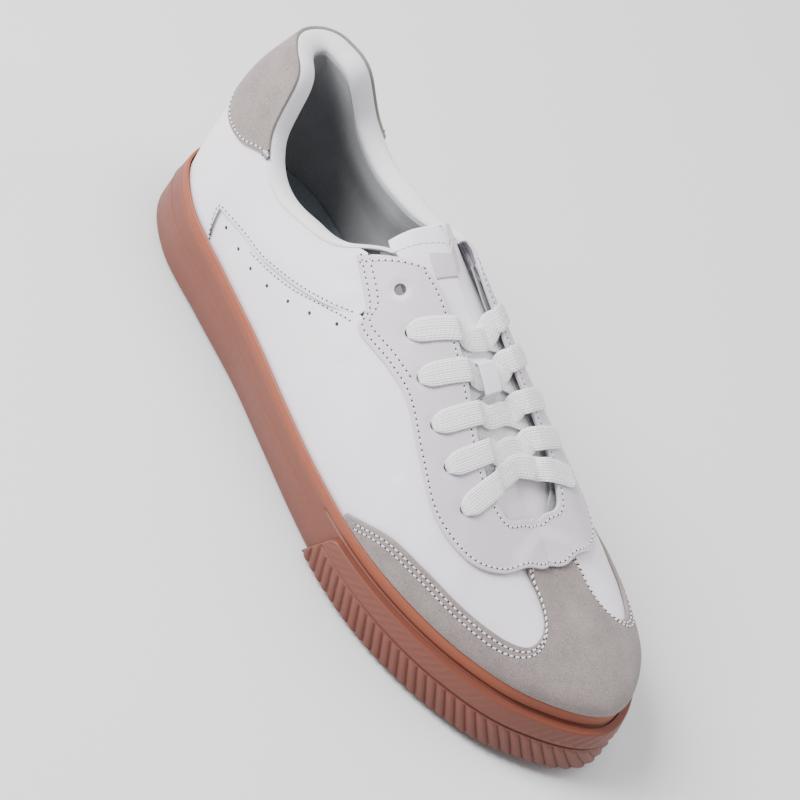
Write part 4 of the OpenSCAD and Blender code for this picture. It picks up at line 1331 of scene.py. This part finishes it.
def bumper():
    """Ribbed band round the front of the sole, with slanted rear ends and rounded corners."""
    q = np.linspace(BUMPER_FROM, 2 - BUMPER_FROM, 1300)
    run = run_along(rim(q))[:, None]
    end = np.minimum(run, run[-1] - run)
    top = BUMPER_TOP - BUMPER_CORNER * (1 - round_over(end / BUMPER_CORNER)) / WALL_TALL
    share = np.concatenate([np.linspace(0, 1, BUMPER_ROWS), np.ones(CLOSING_ROWS)])
    k = BUMPER_FOOT + (top - BUMPER_FOOT) * share
    swell = np.concatenate([np.ones(BUMPER_ROWS), np.linspace(1, 0, CLOSING_ROWS + 1)[1:]])[None]
    foot = round_over((k - BUMPER_FOOT) / 0.04)
    crown = 1 - 0.14 * ease((k - (top - 0.02)) / 0.02)
    phase = run / RIB + (k - 0.28) * WALL_TALL / RIB * 0.8
    pillow = np.abs(np.sin(np.pi * (phase - np.floor(phase)) ** 1.45)) ** 0.55
    rounding = np.clip((RIBS_TO - k) / 0.07, 0, 1) ** 0.35
    lower = ease((RIBS_TO - k) / 0.02) * (0.95 * pillow * rounding - 0.8)
    upper_zone = ease((k - 0.5) / 0.02) * ease((0.75 - k) / 0.02)
    fine = 0.08 * np.sin(2 * np.pi * (run - k * WALL_TALL) / RIB) * upper_zone
    groove = 1.2 * bell((k - 0.457) * WALL_TALL, 0.45) + 0.3 * bell((k - 0.5) * WALL_TALL, 0.3)
    relief = (lower + fine - groove) * ease(end / 1.5)
    rear_end = 0.6 + 0.4 * round_over(end / 0.8)
    out = 0.3 + swell * (BUMPER_T * foot * crown * rear_end + relief * foot)
    start = BUMPER_FROM + BUMPER_SLANT * k
    grid_q = start + (2 - 2 * start) * np.linspace(0, 1, len(q))[:, None]
    outer = wall_point(grid_q, k, out)
    inner = wall_point(grid_q, k, 0.15 + 0 * k)
    inner[:, BUMPER_ROWS:] = inner[:, BUMPER_ROWS - 1:BUMPER_ROWS]
    inner[:, BUMPER_ROWS:, 2] -= 0.02 * np.arange(1, CLOSING_ROWS + 1)
    points, faces, _ = slab(outer, inner)
    uv = np.stack([np.zeros(len(points)), points[:, 2] / 32], -1)
    piece(
        "forefoot_bumper_skin", points, faces, [GUM], slot="gum_rubber", replaces=["forefoot_bumper"], uv=uv
    )


bumper()

SOCK_GAP = 5.2
SOCK_RISE = 2.2
SOCK_THICK = 3.72
SOCK_DISH = [
    (6, 0.12), (1.6, SOCK_RISE - 0.28), (0, SOCK_RISE + 0.12), (0, SOCK_RISE + 0.7),
    (0.5, SOCK_RISE + 0.88), (2.2, SOCK_RISE + 0.3), (6, 0.9),
]


def cover_loops():
    q = np.linspace(0, 2, 300, endpoint=False)
    top = board_top(rim(q)[:, 0]) + SOCK_THICK
    return profile(q, [(-SOCK_GAP - inward, top + z) for inward, z in SOCK_DISH], 30)


stack(
    "sockliner_cover_skin", cover_loops(), [FOOTBED], slot="footbed_textile",
    replaces=["sockliner_cover"], body="sockliner",
)

# ---- materials of the plain solids ----

FINISH = {
    "tread": (GUM_TREAD, "gum_rubber"), "midsole": (FOAM, "foam"), "insole_board": (BOARD, "fibre_board"),
    "sockliner_foam": (FOAM, "foam"), "heel_counter": (STIFFENER, "stiffener"),
    "toe_puff": (STIFFENER, "stiffener"), "eyelet_backing_lateral": (TAPE, "backing_tape"),
    "eyelet_backing_medial": (TAPE, "backing_tape"), "vamp_lining": (LINING, "lining_textile"),
    "aglet_lateral": (AGLET, "aglet_plastic"), "aglet_medial": (AGLET, "aglet_plastic"),
}
for name, (paint, slot) in FINISH.items():
    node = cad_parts[name]
    node.data.materials.clear()
    node.data.materials.append(paint)

# ---- studio ----


def studio():
    low, high = (Vector(v) for v in cad_box)
    floor_paint = Paint("studio_floor", (0.8, 0.8, 0.8), 0.9).material
    bpy.ops.mesh.primitive_plane_add(size=8, location=(0, 0, low.z - 0.0002))
    floor = bpy.context.object
    floor.name = "studio_floor"
    floor.data.materials.append(floor_paint)
    for name, energy, size, place in (
        ("key", 66, 0.9, (-0.9, -1.0, 1.2)), ("overhead", 15, 1.4, (-0.2, 0.3, 1.9)),
        ("rim", 9, 0.9, (0.6, 1.2, 0.9)),
    ):
        data = bpy.data.lights.new(name, "AREA")
        data.energy = energy
        data.size = size
        light = bpy.data.objects.new(name, data)
        light.location = place
        direction = (low + high) / 2 - Vector(place)
        light.rotation_euler = direction.to_track_quat("-Z", "Y").to_euler()
        bpy.context.scene.collection.objects.link(light)
    world = bpy.data.worlds.new("studio")
    world.use_nodes = True
    background = world.node_tree.nodes["Background"]
    background.inputs["Color"].default_value = (0.96, 0.96, 1, 1)
    background.inputs["Strength"].default_value = 0.5
    bpy.context.scene.world = world


studio()
